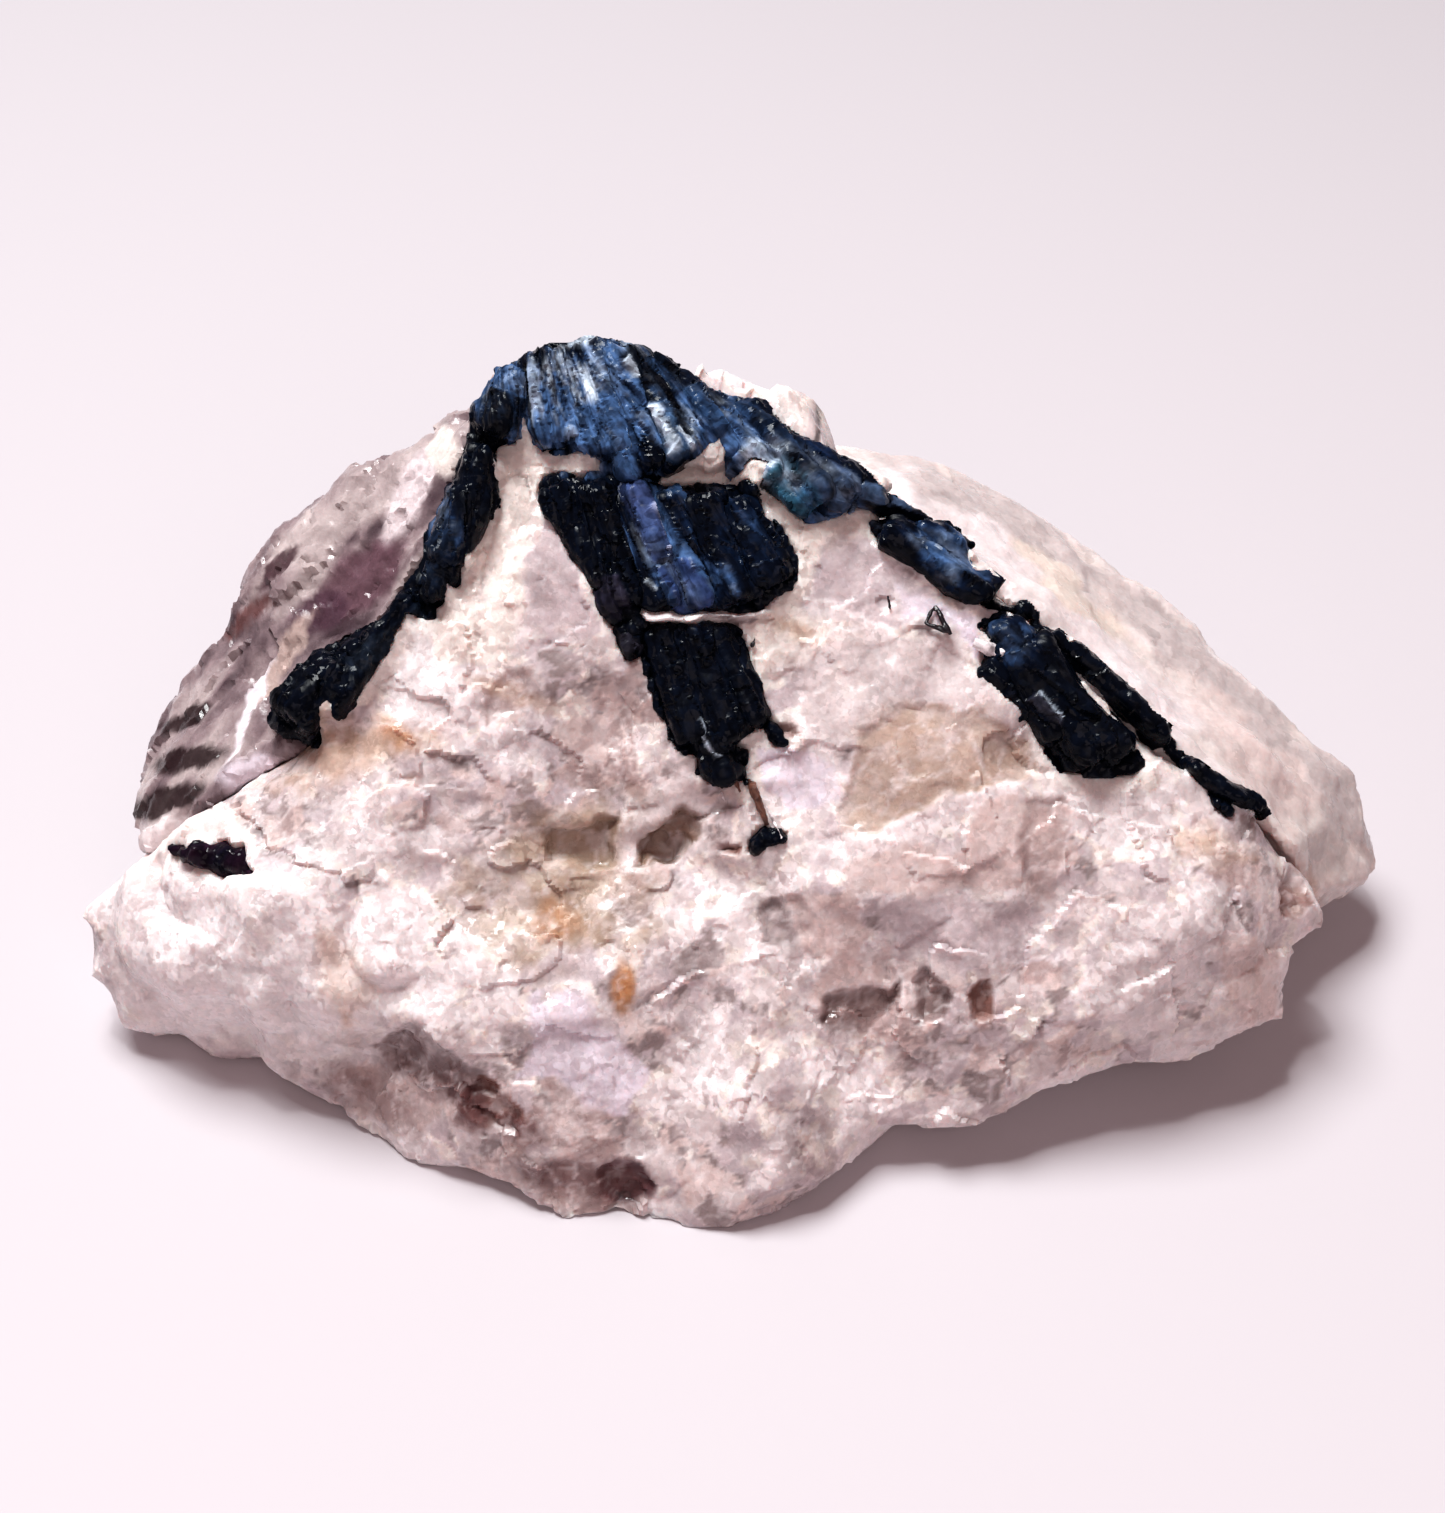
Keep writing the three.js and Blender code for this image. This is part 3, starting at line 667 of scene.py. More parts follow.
CLEARER = [  # where clear quartz is commoner or rarer: patch, change
    ((-19, 11), (9, 4.5), -10, -0.32),
    ((-4, 30), (9, 5), 0, -0.3),
    ((-12, 23), (3, 4), 0, -0.16),
    ((16.6, 10.6), (3.6, 3.6), 0, -0.22),
    ((14, 17.5), (4, 1.6), -35, -0.15),
    ((7, 10.5), (8, 4), 0, 0.16),
    ((-9, 5), (8, 3.5), -20, 0.2),
    ((-3, 18.5), (8, 4), 0, 0.07),
    ((-9.5, 16), (3, 4), 20, 0.12),
    ((-6, 13.4), (3.6, 1.8), 0, 0.2),
]
MINERALS = [(0.41, ALBITE, 0.1), (0.47, CREAM, 0.15), (0.58, PALE, 0.6), (0.67, LILAC, 0.8),
            (0.74, GREY, 0.9), (0.82, PINK, 0.8), (2, MAUVE, 0.9)]


def front_grains(places, colour, clear):
    """Lays the grains of the front face over the rest. Clear dark grains lie deeper."""
    edge = warped(warped(places, 0.3, 1.2, 650), 0.12, 0.4, 660)
    broken = np.clip(0.3 + 1.2 * noise(places, 0.9, 670, 2), 0, 1)
    soft = 0.05 + 0.5 * np.clip(noise(places, 2.0, 675, 2), 0, 1)
    cloud = np.clip(0.3 + 0.9 * noise(warped(places, 0.3, 0.8, 685), 1.2, 680, 3), 0, 1)
    step = np.zeros(len(places))
    for kind, clearness, outline in FRONT_GRAINS:
        near = near_to(outline, edge, 1) & (places[:, 2] > -5)
        depth = np.full(len(places), OUTSIDE)
        depth[near] = depth_inside(outline, edge[near])
        inside = np.clip(0.5 + depth / (2 * soft), 0, 1)
        colour = mixed(colour, kind, 0.95 * inside * (1 - 0.35 * clearness * cloud))
        clear = clear + (clearness - clear) * inside
        sink = 1.4 * clearness * max(0.5 - np.mean(kind), 0)
        step -= sink * faded(-depth, -0.4, 0.05)
        if clearness > 0.5:
            rim = faded(np.abs(depth + 0.05), 0.03, 0.15) * broken
            colour = mixed(colour, ALBITE, 0.7 * rim)
            clear = clear * (1 - 0.7 * rim)
    return colour, clear, step


def mineral_colours(places):
    """Colour, clearness and relief of the white rock's grains."""
    coarse = Grains(warped(places, 0.8, 2.0, 500), 3.0, 510)
    medium = Grains(warped(places, 0.35, 0.8, 520), 1.3, 530)
    small = Grains(warped(places, 0.1, 0.3, 535), 0.5, 540)
    pick = 0.45 * coarse.random(7) + 0.38 * medium.random(7) + 0.07 * small.random(7)
    pick += 0.14 * noise(places, 4.5, 545, 2) + 0.03
    for *patch, change in CLEARER:
        pick += change * faded(in_patch(places, *patch), 0.5, 1.2)
    colour = np.array(ALBITE)
    clear = np.full(len(places), 0.1)
    low = -1.0
    for high, kind, clearness in MINERALS:
        chosen = ((pick >= low) & (pick < high)).astype(float)
        colour = mixed(colour, kind, chosen * 0.9)
        clear += (clearness - clear) * chosen
        low = high
    rim = faded(medium.border, 0.0, 0.1) * (medium.random(9) > 0.6)
    colour = mixed(colour, ALBITE, 0.5 * rim)
    colour, clear, step = front_grains(places, colour, clear)
    blotch = noise(places, 1.1, 590, 4)
    # stains, and painted shade under the lower lip
    for *patch, kind, strength in STAINS_AND_SHADE:
        away = in_patch(places, *patch) - 0.5 * blotch
        colour = mixed(colour, kind, strength * faded(away, 0.2, 1.3))
    plain = 1 - 0.7 * clear
    shade = 1 + (0.10 * (medium.random(8) - 0.5) + 0.07 * (small.random(8) - 0.5)) * plain
    shade *= 1 + 0.08 * noise(places, 1.0, 560)
    colour = colour * shade[:, None]
    veins = faded(np.abs(noise(places, 2.4, 570, 4)), 0.0, 0.06)
    colour = mixed(colour, ALBITE, 0.5 * veins)
    veil = faded(np.abs(noise(warped(places, 0.2, 0.6, 690), 1.1, 695, 4)), 0.0, 0.3)
    colour = mixed(colour, ALBITE, 0.4 * veil * clear)
    speck = faded(noise(places, 0.6, 580), -1.2, -0.85)
    colour = mixed(colour, MAUVE, 0.7 * speck * plain)
    return np.clip(colour, 0, BRIGHTEST), np.clip(clear, 0, 1), step


# -------- rock masses

# Where rock stands further out behind the crystals: patch, way, distance.
CROWN_BACK = ((0.9, 33.2), (3.6, 1.9), -15, (0.1, 1), 1.3)
FLANK_BACK = ((-17, 27.4), (5.6, 3), 42, (-0.75, 0.66), 1.7)
SEAT_DEPTH = 0.5  # how far the rock goes down under a crystal
CRUST_HEIGHT = 0.07
LEFT_END = ((-20, 10.5), (8, 5.5), -10)  # patch of the lumpy white end
# white albite, lightened further as painted light where the left end faces the key
LEFT_END_WHITE_AND_LIGHT = (0.95, 0.87, 0.88)
CROWN_SHADE_LINE = ((1, 31.8), (2.1, 2.6), 0)  # painted shade: a dark line follows its right side, behind the crown
VEIN_UP = 24.6  # where the white vein crosses below the fan
VEIN_HEIGHT = 0.5
FINE_FRONT = -2.6  # down to this depth the rock gets its finest mesh


def seat_crystals(places, height):
    """Lowers the rock under the crystals, and raises a low crust along their edges."""
    depth = depth_in_crystals(places)
    facing = places[:, 2] > -4
    crust = faded(np.abs(depth + 0.3), 0.1, 0.8) * (depth < 0.1) * facing
    height = height + CRUST_HEIGHT * crust
    under = faded(-depth, -0.2, 0.05) * facing
    return height * (1 - under) - SEAT_DEPTH * under, crust


def push_back_edge(piece, places, swell, front, back):
    """Moves the rock behind the crystals along the face, so that more of it shows."""
    *patch, way, distance = swell
    share = faded(in_patch(places, *patch), 0.5, 1.2) * faded(places[:, 2], back, front)
    step = MM * distance * (way[0] * FACE_AXES[0] + way[1] * FACE_AXES[1])
    place_points(piece, points_of(piece) + share[:, None] * step)


def white_relief(places, step, clear, left_end):
    """Height of the rock: grains within grains, and rounder lumps at the left end."""
    rough = 0.85 - 0.4 * clear
    calm = 1 - 0.4 * left_end
    height = step + 0.24 * Grains(warped(places, 0.4, 1.5, 100), 2.8, 110).relief * calm
    height += (1.1 * np.abs(smooth_noise(places, 2.8, 160)) - 0.25) * left_end
    height += 0.115 * Grains(warped(places, 0.2, 0.6, 120), 1.4, 130).relief * rough * calm
    height += 0.045 * Grains(warped(places, 0.1, 0.3, 135), 0.65, 140).relief * rough
    cracks = np.abs(noise(places, 1.3, 155, 3))
    return height + (0.03 * noise(places, 0.9, 150, 4) - 0.03 * cracks) * rough


def white_vein(places):
    """1 on the white vein that crosses below the fan, and 0 beside it."""
    edge = ragged(places)
    vein = faded(np.abs(edge[:, 1] - VEIN_UP - 0.06 * np.abs(edge[:, 0] + 2)), 0.06, 0.2)
    return vein * faded(np.abs(edge[:, 0] + 1.6), 2.4, 3.0)


def painted_crown_shade(places):
    """1 on the line of painted shade behind the right side of the crown, and 0 beside it."""
    shade_line = faded(np.abs(in_patch(places, *CROWN_SHADE_LINE) - 1), 0.02, 0.08)
    return shade_line * (places[:, 0] > 2.2) * (places[:, 2] < -1)


def white_rock():
    crystals = [solid_of("tourmaline_" + name) for name in CRYSTAL_OUTLINES]
    piece = remeshed("white_rock", [solid_of("quartz_matrix"), *crystals], ROCK_VOXEL, 4)
    places = places_of(piece)
    refine(piece, (places[:, 2] > FINE_FRONT) & (normals_of(piece) @ FACE_AXES[2] > 0.15))
    places = places_of(piece)
    colour, clear, step = mineral_colours(places)
    left_end = faded(in_patch(places, *LEFT_END), 0.5, 1.2)
    height = white_relief(places, step, clear, left_end)
    height, crust = seat_crystals(places, height)
    vein = white_vein(places)
    height += VEIN_HEIGHT * vein
    colour = mixed(colour, CREAM, 0.6 * crust * (clear < 0.5))
    # the left end's white albite, with painted light laid over it
    colour = mixed(colour, LEFT_END_WHITE_AND_LIGHT, 0.5 * left_end * (1 - clear))
    colour = mixed(colour, ALBITE, 0.9 * vein)
    # painted shade: a dark line behind the right side of the crown
    colour = mixed(colour, SHADE, 0.8 * painted_crown_shade(places))
    move_out(piece, height)
    push_back_edge(piece, places, CROWN_BACK, -0.8, -1.8)
    material = rock_material("white_rock", 0.8, 0.42, 0.6, 0.6, 0.5, 0.3)
    return dressed(piece, colour, clear, material, "quartz_matrix")


def turned(places, run, rise, stretch):
    """Places on axes along and across the way that a mass runs, each axis stretched."""
    return places @ np.array([[run, rise, 0], [-rise, run, 0], [0, 0, 1]]) * stretch


MILKY = (0.70, 0.61, 0.59)
MILKY_WARM = (0.74, 0.61, 0.57)
MILKY_EDGE = (0.54, 0.465, 0.46)
MILKY_PATCHES = [  # patch, colour, clearness
    ((9, 28.6), (4, 1.3), -40, ALBITE, 0.6),  # white band along the ridge
    ((16, 22.6), (4, 1), -38, ALBITE, 0.6),
    ((14, 26), (3, 0.8), -38, (0.72, 0.61, 0.55), 0.8),
    ((22, 19), (4, 1.8), -40, (0.70, 0.58, 0.56), 0.8),
    ((25, 15.4), (1.8, 1.8), 0, (0.62, 0.54, 0.52), 1),
    ((23.8, 13.4), (1.2, 1), 0, (0.60, 0.44, 0.38), 0.9),
    ((10.9, 29.6), (5.4, 1.1), -27, MILKY_EDGE, 0.75),  # greyer along the outer edge
    ((19.9, 23.3), (6.4, 1.1), -40, MILKY_EDGE, 0.75),
    ((26.3, 17.1), (2.8, 1.1), -57, MILKY_EDGE, 0.75),
]


def milky_mass():
    piece = remeshed("milky_mass", [solid_of("milky_quartz")], MILKY_VOXEL, 5)
    places = places_of(piece)
    slope = turned(places, 0.8, 0.6, [0.5, 1, 1])
    broad = noise(slope, 2.6, 200, 3)
    ripple = noise(warped(slope, 0.3, 1.0, 205), 1.1, 215, 3)
    height = 0.24 * broad + 0.11 * ripple
    height += 0.07 * Grains(warped(places, 0.5, 1.2, 210), 1.6, 220).relief
    height += 0.04 * noise(places, 0.5, 240)
    colour = mixed(np.array(MILKY), MILKY_WARM, np.clip(0.1 - 0.5 * ripple, 0, 0.5))
    colour = mixed(colour, ALBITE, np.clip(0.5 * ripple + 0.5 * broad, 0, 0.6))
    clear = np.full(len(places), 0.8)
    colour, clear = painted(warped(places, 0.7, 1.5, 250), colour, clear, MILKY_PATCHES)
    move_out(piece, height)
    material = rock_material("milky_quartz", 2.0, 0.06, 0.5, 0.9, 0.5, 0.35)
    return dressed(piece, colour, clear, material, "milky_quartz")


SMOKY = (0.28, 0.21, 0.222)
SMOKY_PALE = (0.54, 0.455, 0.45)
SMOKY_DARK = (0.04, 0.02, 0.03)
SMOKY_PATCHES = [
    ((-15.6, 26.4), (2.3, 1.2), 35, (0.14, 0.075, 0.095), 0.9),  # brown, near the arm
    ((-17.4, 25), (1.3, 0.9), 30, (0.09, 0.045, 0.065), 0.9),
    ((-13.6, 29.8), (0.8, 2), -25, (0.72, 0.62, 0.64), 0.3),
    ((-12.2, 31.6), (0.7, 1), 0, CREAM, 0.4),
    ((-19, 23), (0.5, 2.2), -32, (0.50, 0.38, 0.35), 0.6),
    ((-20.4, 20.9), (0.22, 2.3), -22, (0.90, 0.83, 0.88), 0.9),  # a glossy white streak, partly a painted highlight
    ((-19.9, 18.2), (1.5, 0.9), 10, PALE_LILAC, 0.8),
    ((-16.2, 21), (0.8, 0.5), 20, PALE_LILAC, 1),
    ((-24.4, 15.6), (2, 0.7), 18, ALBITE, 0.3),
    ((-23.5, 20.6), (1.4, 0.35), 20, SHADE, 0.97),  # dark streaks low on the flank
    ((-23.3, 18.9), (2, 0.5), 12, SHADE, 0.97),
    ((-24.2, 17.1), (2.1, 0.5), 18, SHADE, 0.97),
    ((-19.4, 27), (1.2, 0.3), 40, (0.08, 0.04, 0.05), 0.9),
    ((-20.8, 25), (1.4, 0.35), 42, UMBER, 0.9),
]


def smoky_flank():
    piece = remeshed("smoky_flank", [solid_of("smoky_quartz")], SMOKY_VOXEL, 4)
    push_back_edge(piece, places_of(piece), FLANK_BACK, -3.4, -5.4)
    places = places_of(piece)
    slope = turned(places, 0.75, 0.66, [1, 0.35, 1])
    band = noise(warped(slope, 0.4, 1.2, 300), 1.2, 310, 4)
    height = 0.16 + 0.36 * Grains(warped(slope, 0.3, 1.0, 320), 1.5, 330).relief
    height += 0.16 * Grains(warped(slope, 0.1, 0.4, 335), 0.6, 340).relief
    height += 0.05 * noise(places, 0.5, 350)
    height, _ = seat_crystals(places, height)
    colour = mixed(np.array(SMOKY), SMOKY_PALE, np.clip(0.15 + 1.1 * band, 0, 0.9))
    colour = mixed(colour, SMOKY_DARK, np.clip(-0.1 - 1.3 * band, 0, 0.85))
    clear = np.full(len(places), 0.9)
    colour, clear = painted(warped(places, 0.22, 0.7, 360), colour, clear, SMOKY_PATCHES)
    move_out(piece, height)
    material = rock_material("smoky_quartz", 0.8, 0.35, 0.1, 0.5, 0.4, 0.2)
    return dressed(piece, colour, clear, material, "smoky_quartz")


# -------- tourmaline

BLACK = (0.002, 0.003, 0.006)
NAVY = (0.007, 0.016, 0.042)
BLUE = (0.072, 0.14, 0.285)
# pale ice blue, also the colour of the painted glint streaks among the prisms
ICE = (0.52, 0.60, 0.70)

BLUE_ZONES = [  # patch, how blue from 0 to 1
    ((-5.6, 33), (3.6, 2.6), 0, 1),
    ((-0.8, 32), (3, 1.7), -35, 0.9),
    ((3, 30), (3.4, 1.4), -35, 0.95),
    ((-9.4, 33.6), (1.5, 1.4), 0, 0.6),
    ((-2.9, 27.3), (1.3, 3.6), 27, 0.85),
    ((-1.4, 26.2), (1.4, 1.6), 27, 0.6),
    ((0.2, 27.8), (1.8, 2), 20, 0.26),
    ((-11.8, 28.4), (0.8, 1.6), 0, 0.5),
    ((8.2, 27.2), (2.6, 1), -30, 0.62),
    ((10.8, 23.6), (1, 1.2), -40, 0.4),
]
ICE_ZONES = [
    ((-6.5, 35.7), (1, 0.45), 15, 0.9),
    ((-6.3, 33.9), (0.9, 0.9), -20, 1),
    ((-7.6, 34.3), (1.2, 0.7), 20, 0.5),
    ((-4, 35.4), (1, 0.35), -15, 0.6),
    ((1.3, 30.6), (1.3, 0.8), -35, 1),
    ((-8.3, 32.8), (0.4, 1), 0, 0.5),
]
SPRAY_TURN = 15  # the distance from the apex at which turns are measured in millimetres
SUNK = 0.7 * MM  # what lies outside a crystal's outline is sunk this far


def spray_places(places):
    """Places round the apex of the fan, out of the face, and away from the apex."""
    away = places[:, :2] - SPRAY_APEX
    distance = np.hypot(away[:, 0], away[:, 1])
    round_apex = np.arctan2(away[:, 0], -away[:, 1]) * SPRAY_TURN
    return np.stack([round_apex, places[:, 2], distance], axis=1)


def zoned(places, zones, spray):
    """The strongest zone at each place, with streaky edges along the crystals."""
    streak = noise(spray * [1, 1, 0.12], 0.5, 450, 3)
    total = np.zeros(len(places))
    for *patch, strength in zones:
        away = in_patch(places, *patch) + 0.35 * streak
        total = np.maximum(total, strength * faded(away, 0.6, 1.2))
    return total


PRISMS = [  # single prisms, streaks and painted glints: one end, other end, half width, rise, colour
    # crown
    ((-4.1, 35.5), (-2.9, 33.3), 0.9, 0.1, BLACK),
    ((-9.2, 33.6), (-9.6, 32.2), 0.7, 0.1, BLACK),
    ((-5.4, 35.4), (-4.4, 30.3), 0.46, 0.25, (0.05, 0.10, 0.21)),
    # painted highlight: a glint streak on the crown
    ((-4.7, 34.9), (-4.3, 34.1), 0.12, 0.05, ICE),
    ((-3.4, 33), (-2.3, 31), 0.36, 0.2, (0.06, 0.11, 0.20)),
    # painted highlights: glint streaks along the crown's columns
    ((-3.4, 33), (-2.4, 31.1), 0.10, 0.1, ICE),
    ((-2.5, 32.1), (-1.9, 31.2), 0.10, 0.1, ICE),
    ((-2.9, 33.5), (-2, 31.8), 0.16, -0.1, BLACK),
    ((-2, 33.7), (-0.7, 31.8), 0.34, 0.2, (0.02, 0.045, 0.10)),
    ((-0.4, 33.5), (2.4, 30.3), 0.30, 0.1, (0.02, 0.045, 0.10)),
    ((0.3, 33.3), (3.9, 29.1), 0.42, 0.3, (0.005, 0.009, 0.02)),
    ((2.4, 31.9), (4.6, 29.5), 0.36, 0.1, NAVY),
    ((4.5, 29.9), (7, 29.3), 0.26, 0.1, (0.05, 0.08, 0.14)),
    ((1.2, 30.6), (2.9, 28.9), 0.6, 0, (0.025, 0.085, 0.13)),
    # fan
    ((-4.65, 30.2), (-2.9, 26.8), 0.42, 0.2, (0.045, 0.065, 0.155)),
    ((-3.75, 29), (-2.8, 27.2), 0.07, 0.06, (0.36, 0.40, 0.56)),
    ((-2.7, 26.7), (-1.7, 24.9), 0.62, 0.05, (0.03, 0.05, 0.13)),
    # painted highlight: a glint spot on the fan
    ((-3.6, 26), (-3.3, 25.6), 0.07, 0.05, ICE),
    ((-5.3, 26.2), (-4.8, 24.7), 0.50, 0.15, (0.022, 0.02, 0.034)),
    # prisms below it
    ((-4.6, 24), (-4.3, 23.2), 0.34, 0.1, (0.035, 0.033, 0.048)),
    # painted highlight: a glint line on the centre prism
    ((-1.7, 20.5), (-0.9, 19), 0.03, 0.06, ICE),
    # right ridge
    ((11.7, 21.5), (12.8, 20.4), 0.16, 0.15, (0.05, 0.05, 0.07)),
    # painted highlight: a thin light line along the ridge
    ((11.9, 21.6), (12.9, 20.6), 0.03, 0.15, ICE),
    # left limb
    ((-11.6, 28.6), (-12.6, 26), 0.5, 0, (0.012, 0.02, 0.038)),
    ((-12.8, 24.8), (-15.6, 22.6), 0.4, 0, (0.011, 0.016, 0.026)),
    ((-23.6, 15.2), (-19, 14.4), 1, 0, (0.022, 0.008, 0.018)),
]


def add_prisms(places, inner, fine, height, colour):
    """Lays the single prisms over a crystal, each a low ridge with sharp sides; some are painted glint
    streaks.
    """
    for start, end, half_width, rise, kind in PRISMS:
        way = np.array(end) - start
        length = np.hypot(*way)
        share = ((places[:, :2] - start) @ way) / length**2
        beside = np.abs((places[:, :2] - start) @ [-way[1], way[0]]) / length
        inside = faded(beside, half_width - 0.05, half_width + 0.07) * faded(np.abs(share - 0.5), 0.46, 0.54)
        height = height + inner * inside * rise * (1.2 - 0.6 * beside / half_width)
        colour = mixed(colour, kind, inside * np.clip(0.78 + 0.5 * fine, 0.15, 0.95))
    return height, colour


def crystal_colour(places, spray, column, chip, fine):
    """Black where no light gets through, then navy and blue, with pale streaks and haze."""
    blue = zoned(places, BLUE_ZONES, spray)
    flicker = 0.7 * (column.random(8) - 0.5) + 0.45 * (chip.random(8) - 0.5)
    glow = blue * np.clip(0.75 + 0.25 * fine + flicker, 0, 1.3)
    colour = mixed(np.array(BLACK), NAVY, np.clip(0.1 + 2 * glow, 0, 1))
    colour = mixed(colour, BLUE, np.clip(1.7 * glow - 0.4, 0, 1))
    fog = noise(warped(spray, 0.3, 0.8, 435) * [1, 1, 0.4], 0.6, 440, 4)
    pale = zoned(places, ICE_ZONES, spray) * np.clip(0.65 + 1.1 * fog + 0.6 * (chip.random(9) - 0.5), 0, 1)
    haze = np.clip(0.55 * fog + 0.3 * (column.random(11) - 0.5), 0, 0.36) * np.clip(1.6 * blue - 0.6, 0, 1)
    return mixed(colour, ICE, np.maximum(pale, haze))


def tourmaline(name, material):
    outline = CRYSTAL_OUTLINES[name]
    solids = [solid_of("tourmaline_" + name), slab(outline)]
    piece = remeshed("crystal_" + name, solids, CRYSTAL_VOXEL, 4)
    places = places_of(piece)
    spray = spray_places(places)
    depth = crystal_depth(outline, ragged(places))
    column = Grains(warped(spray, 0.12, 1.5, 400) * [1, 1, 0.13], 0.44, 410)
    chip = Grains(warped(spray, 0.1, 0.4, 435) * [1, 1, 0.5], 0.32, 440)
    fine = noise(spray * [1, 1, 0.06], 0.3, 430, 3)
    inner = faded(-depth, -0.35, 0.0)
    height = 0.05 + inner * (0.2 + 0.20 * column.relief + 0.09 * chip.relief + 0.05 * fine)
    colour = crystal_colour(places, spray, column, chip, fine)
    height, colour = add_prisms(warped(places, 0.1, 0.5, 460), inner, fine, height, colour)
    colour = mixed(colour, BLACK, 0.35 * faded(column.border, 0.02, 0.1))
    outside = (depth < -0.1) & (normals_of(piece) @ FACE_AXES[2] > -0.3)
    move_out(piece, np.where(outside, 0, height))
    place_points(piece, points_of(piece) - np.where(outside, SUNK, 0)[:, None] * FACE_AXES[2])
    store(piece, "way", "FLOAT_VECTOR", "vector", spray)
    dusty = np.clip(1.3 * chip.random(12) - 0.1, 0, 1)
    return dressed(piece, colour, dusty, material, "tourmaline_" + name)


# -------- slivers

SLIVERS = {  # each as its half thickness and its route on the front face
    "dark": [
        (0.12, [(7.8, 25.1), (8.4, 23.9)]),  # the small open triangle
        (0.13, [(8.35, 24), (7.4, 24.35)]),
        (0.10, [(7.4, 24.35), (7.8, 25.1)]),
        (0.10, [(2.7, 33.2), (3, 32.6), (3.1, 31.6)]),
        (0.12, [(-1.1, 34.2), (-0.5, 34.15)]),
        (0.07, [(5.9, 25.5), (6, 24.9)]),
        (0.06, [(0.3, 23.1), (0.6, 23.8)]),
    ],
    "brown": [
        (0.20, [(-0.2, 19.4), (0.5, 17.8), (1.05, 16.3)]),
        (0.10, [(-0.6, 18.9), (0, 17.6)]),
    ],
    "silver": [
        (0.07, [(1, 17.1), (1.65, 15.8)]),
        (0.08, [(-1.1, 18.4), (-0.6, 17.2)]),
        (0.30, [(9.3, 23.6), (10.5, 23.1)]),
    ],
}
SLIVER_LIFT = 0.22  # grains stand about this far out of the solid


def tube(radius, route, sides=6):
    """A closed, pointed sliver along a route on the front face, as its corners and its faces."""
    parts = 4  # of each stretch of the route
    fine = [np.array(route[0])]
    for start, end in zip(route, route[1:]):
        fine += [np.array(start) + (np.array(end) - start) * part / parts for part in range(1, parts + 1)]
    corners = []
    for number, place in enumerate(fine):
        way = np.array(fine[min(number + 1, len(fine) - 1)]) - fine[max(number - 1, 0)]
        beside = np.array([-way[1], way[0]]) / np.hypot(*way)
        taper = 0.45 + 0.55 * math.sin(math.pi * (number + 0.5) / len(fine))
        out = surface_out(*place) + SLIVER_LIFT + 0.4 * radius
        for side in range(sides):
            angle = 2 * math.pi * side / sides
            offset = radius * taper * math.cos(angle)
            corners.append([*(place + beside * offset), out + radius * taper * math.sin(angle)])
    faces = [list(range(sides))[::-1], [len(corners) - sides + side for side in range(sides)]]
    for ring in range(len(fine) - 1):
        for side in range(sides):
            low, high = ring * sides + side, ring * sides + (side + 1) % sides
            faces.append([low, high, high + sides, low + sides])
    return FOOT + MM * np.array(corners) @ FACE_AXES, faces


def plain_material(name, colour, rough):
    material, tree, surface = new_material(name)
    fleck = spread(tree, fine_noise(tree, 0.25, 3), 0.6, 1.4)
    shade = vector_math(tree, "SCALE", {0: colour, "Scale": fleck})
    connect(tree, surface, {"Base Color": shade, "Roughness": rough, "IOR": 1.5})
    return material


def sliver_group(name, colour, rough):
    tubes = [tube(radius, route) for radius, route in SLIVERS[name]]
    piece = remeshed(name + "_slivers", tubes, SLIVER_VOXEL, 1)
    places = places_of(piece)
    move_out(piece, 0.05 * noise(places, 0.25, 700, 2))
    piece.data.materials.append(plain_material(name + "_sliver", colour, rough))
    return piece


# -------- build the specimen

crystal_material = tourmaline_material()
crystals = [tourmaline(name, crystal_material) for name in CRYSTAL_OUTLINES]
slivers = [
    sliver_group("dark", (0.012, 0.008, 0.012), 0.35),
    sliver_group("brown", (0.12, 0.05, 0.035), 0.3),
    sliver_group("silver", (0.75, 0.68, 0.70), 0.15),
]
for piece in [white_rock(), milky_mass(), smoky_flank(), *crystals, *slivers]:
    piece.data.shade_smooth()
    piece.data.set_sharp_from_angle(angle=SHARP_EDGE)
    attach(piece, "root")

# -------- floor, light and camera

FLOOR_HALF = 1.5  # metres
FLOOR_COLOUR = (1.0, 0.935, 0.985)
FLOOR_PAINTED_FALLOFF = {"From Min": -0.04, "From Max": 0.09, "To Min": 0.605, "To Max": 0.44}  # painted light falloff, from front to back
WORLD_COLOUR = (1.0, 0.71, 0.71, 1)


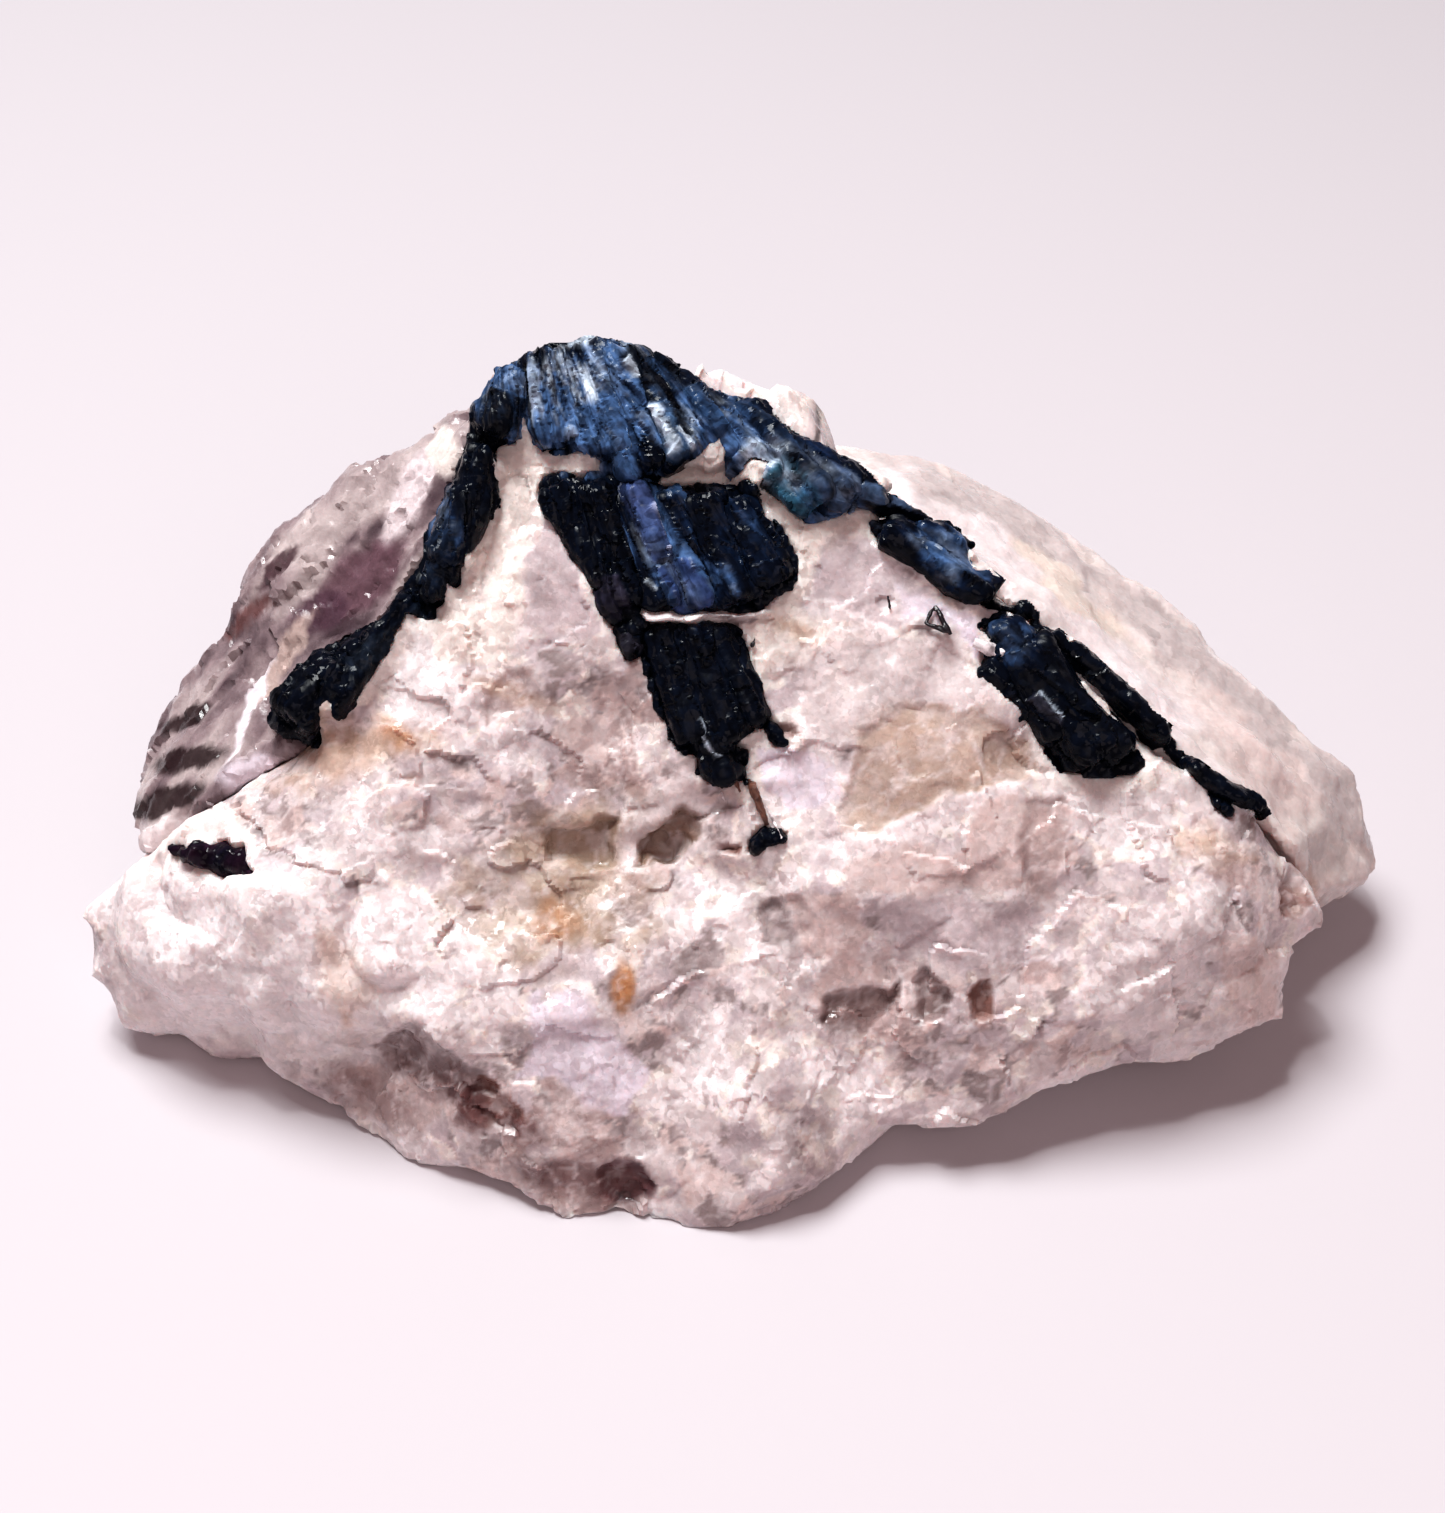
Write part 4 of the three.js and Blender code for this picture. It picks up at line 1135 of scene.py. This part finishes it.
def pale_floor():
    mesh = bpy.data.meshes.new("floor")
    corners = [(x * FLOOR_HALF, y * FLOOR_HALF, 0) for x, y in ((-1, -1), (1, -1), (1, 1), (-1, 1))]
    mesh.from_pydata(corners, [], [(0, 1, 2, 3)])
    floor = new_piece("floor", mesh)
    material, tree, surface = new_material("pale_floor")
    place = node(tree, "SeparateXYZ", {"Vector": node(tree, "TexCoord").outputs["Object"]}).outputs["Y"]
    # painted light: the floor's colour darkens from front to back
    painted_falloff = node(tree, "MapRange", {"Value": place, **FLOOR_PAINTED_FALLOFF}).outputs["Result"]
    colour = vector_math(tree, "SCALE", {0: FLOOR_COLOUR, "Scale": painted_falloff})
    connect(tree, surface, {"Base Color": colour, "Roughness": 0.9, "Specular IOR Level": 0.1})
    mesh.materials.append(material)


def softbox(name, place_mm, size_mm, power, colour=(1, 1, 1)):
    lamp = bpy.data.lights.new(name, "AREA")
    lamp.shape = "DISK"
    lamp.size = size_mm * MM
    lamp.energy = power
    lamp.color = colour
    holder = new_piece(name, lamp)
    holder.location = Vector(place_mm) * MM
    holder.rotation_euler = (Vector((0, 0, 0.01)) - holder.location).to_track_quat("-Z", "Y").to_euler()


def camera():
    lens = bpy.data.cameras.new("camera")
    lens.sensor_fit = "AUTO"
    lens.sensor_width = SENSOR
    lens.lens = SENSOR * FOCAL_PIXELS / IMAGE_LONG_SIDE
    lens.clip_start = 5 * MM
    holder = new_piece("camera", lens)
    towards = Vector((0, math.cos(CAMERA_PITCH), -math.sin(CAMERA_PITCH)))
    holder.location = Vector(on_face(*CAMERA_AIM)) - towards * CAMERA_DISTANCE
    holder.rotation_euler = towards.to_track_quat("-Z", "Y").to_euler()
    bpy.context.scene.camera = holder


pale_floor()
softbox("key", (-85, 120, 325), 170, 1.50, (0.97, 1, 1))
softbox("glint", (-50, 70, 350), 24, 0.18)
softbox("fill", (40, -250, 230), 260, 0.22, (1, 0.85, 0.84))
camera()

scene = bpy.context.scene
scene.view_settings.view_transform = "Standard"
scene.view_settings.look = "Medium High Contrast"
scene.world = bpy.data.worlds.new("studio")
scene.world.use_nodes = True
background = scene.world.node_tree.nodes["Background"]
background.inputs["Color"].default_value = WORLD_COLOUR
background.inputs["Strength"].default_value = 0.2
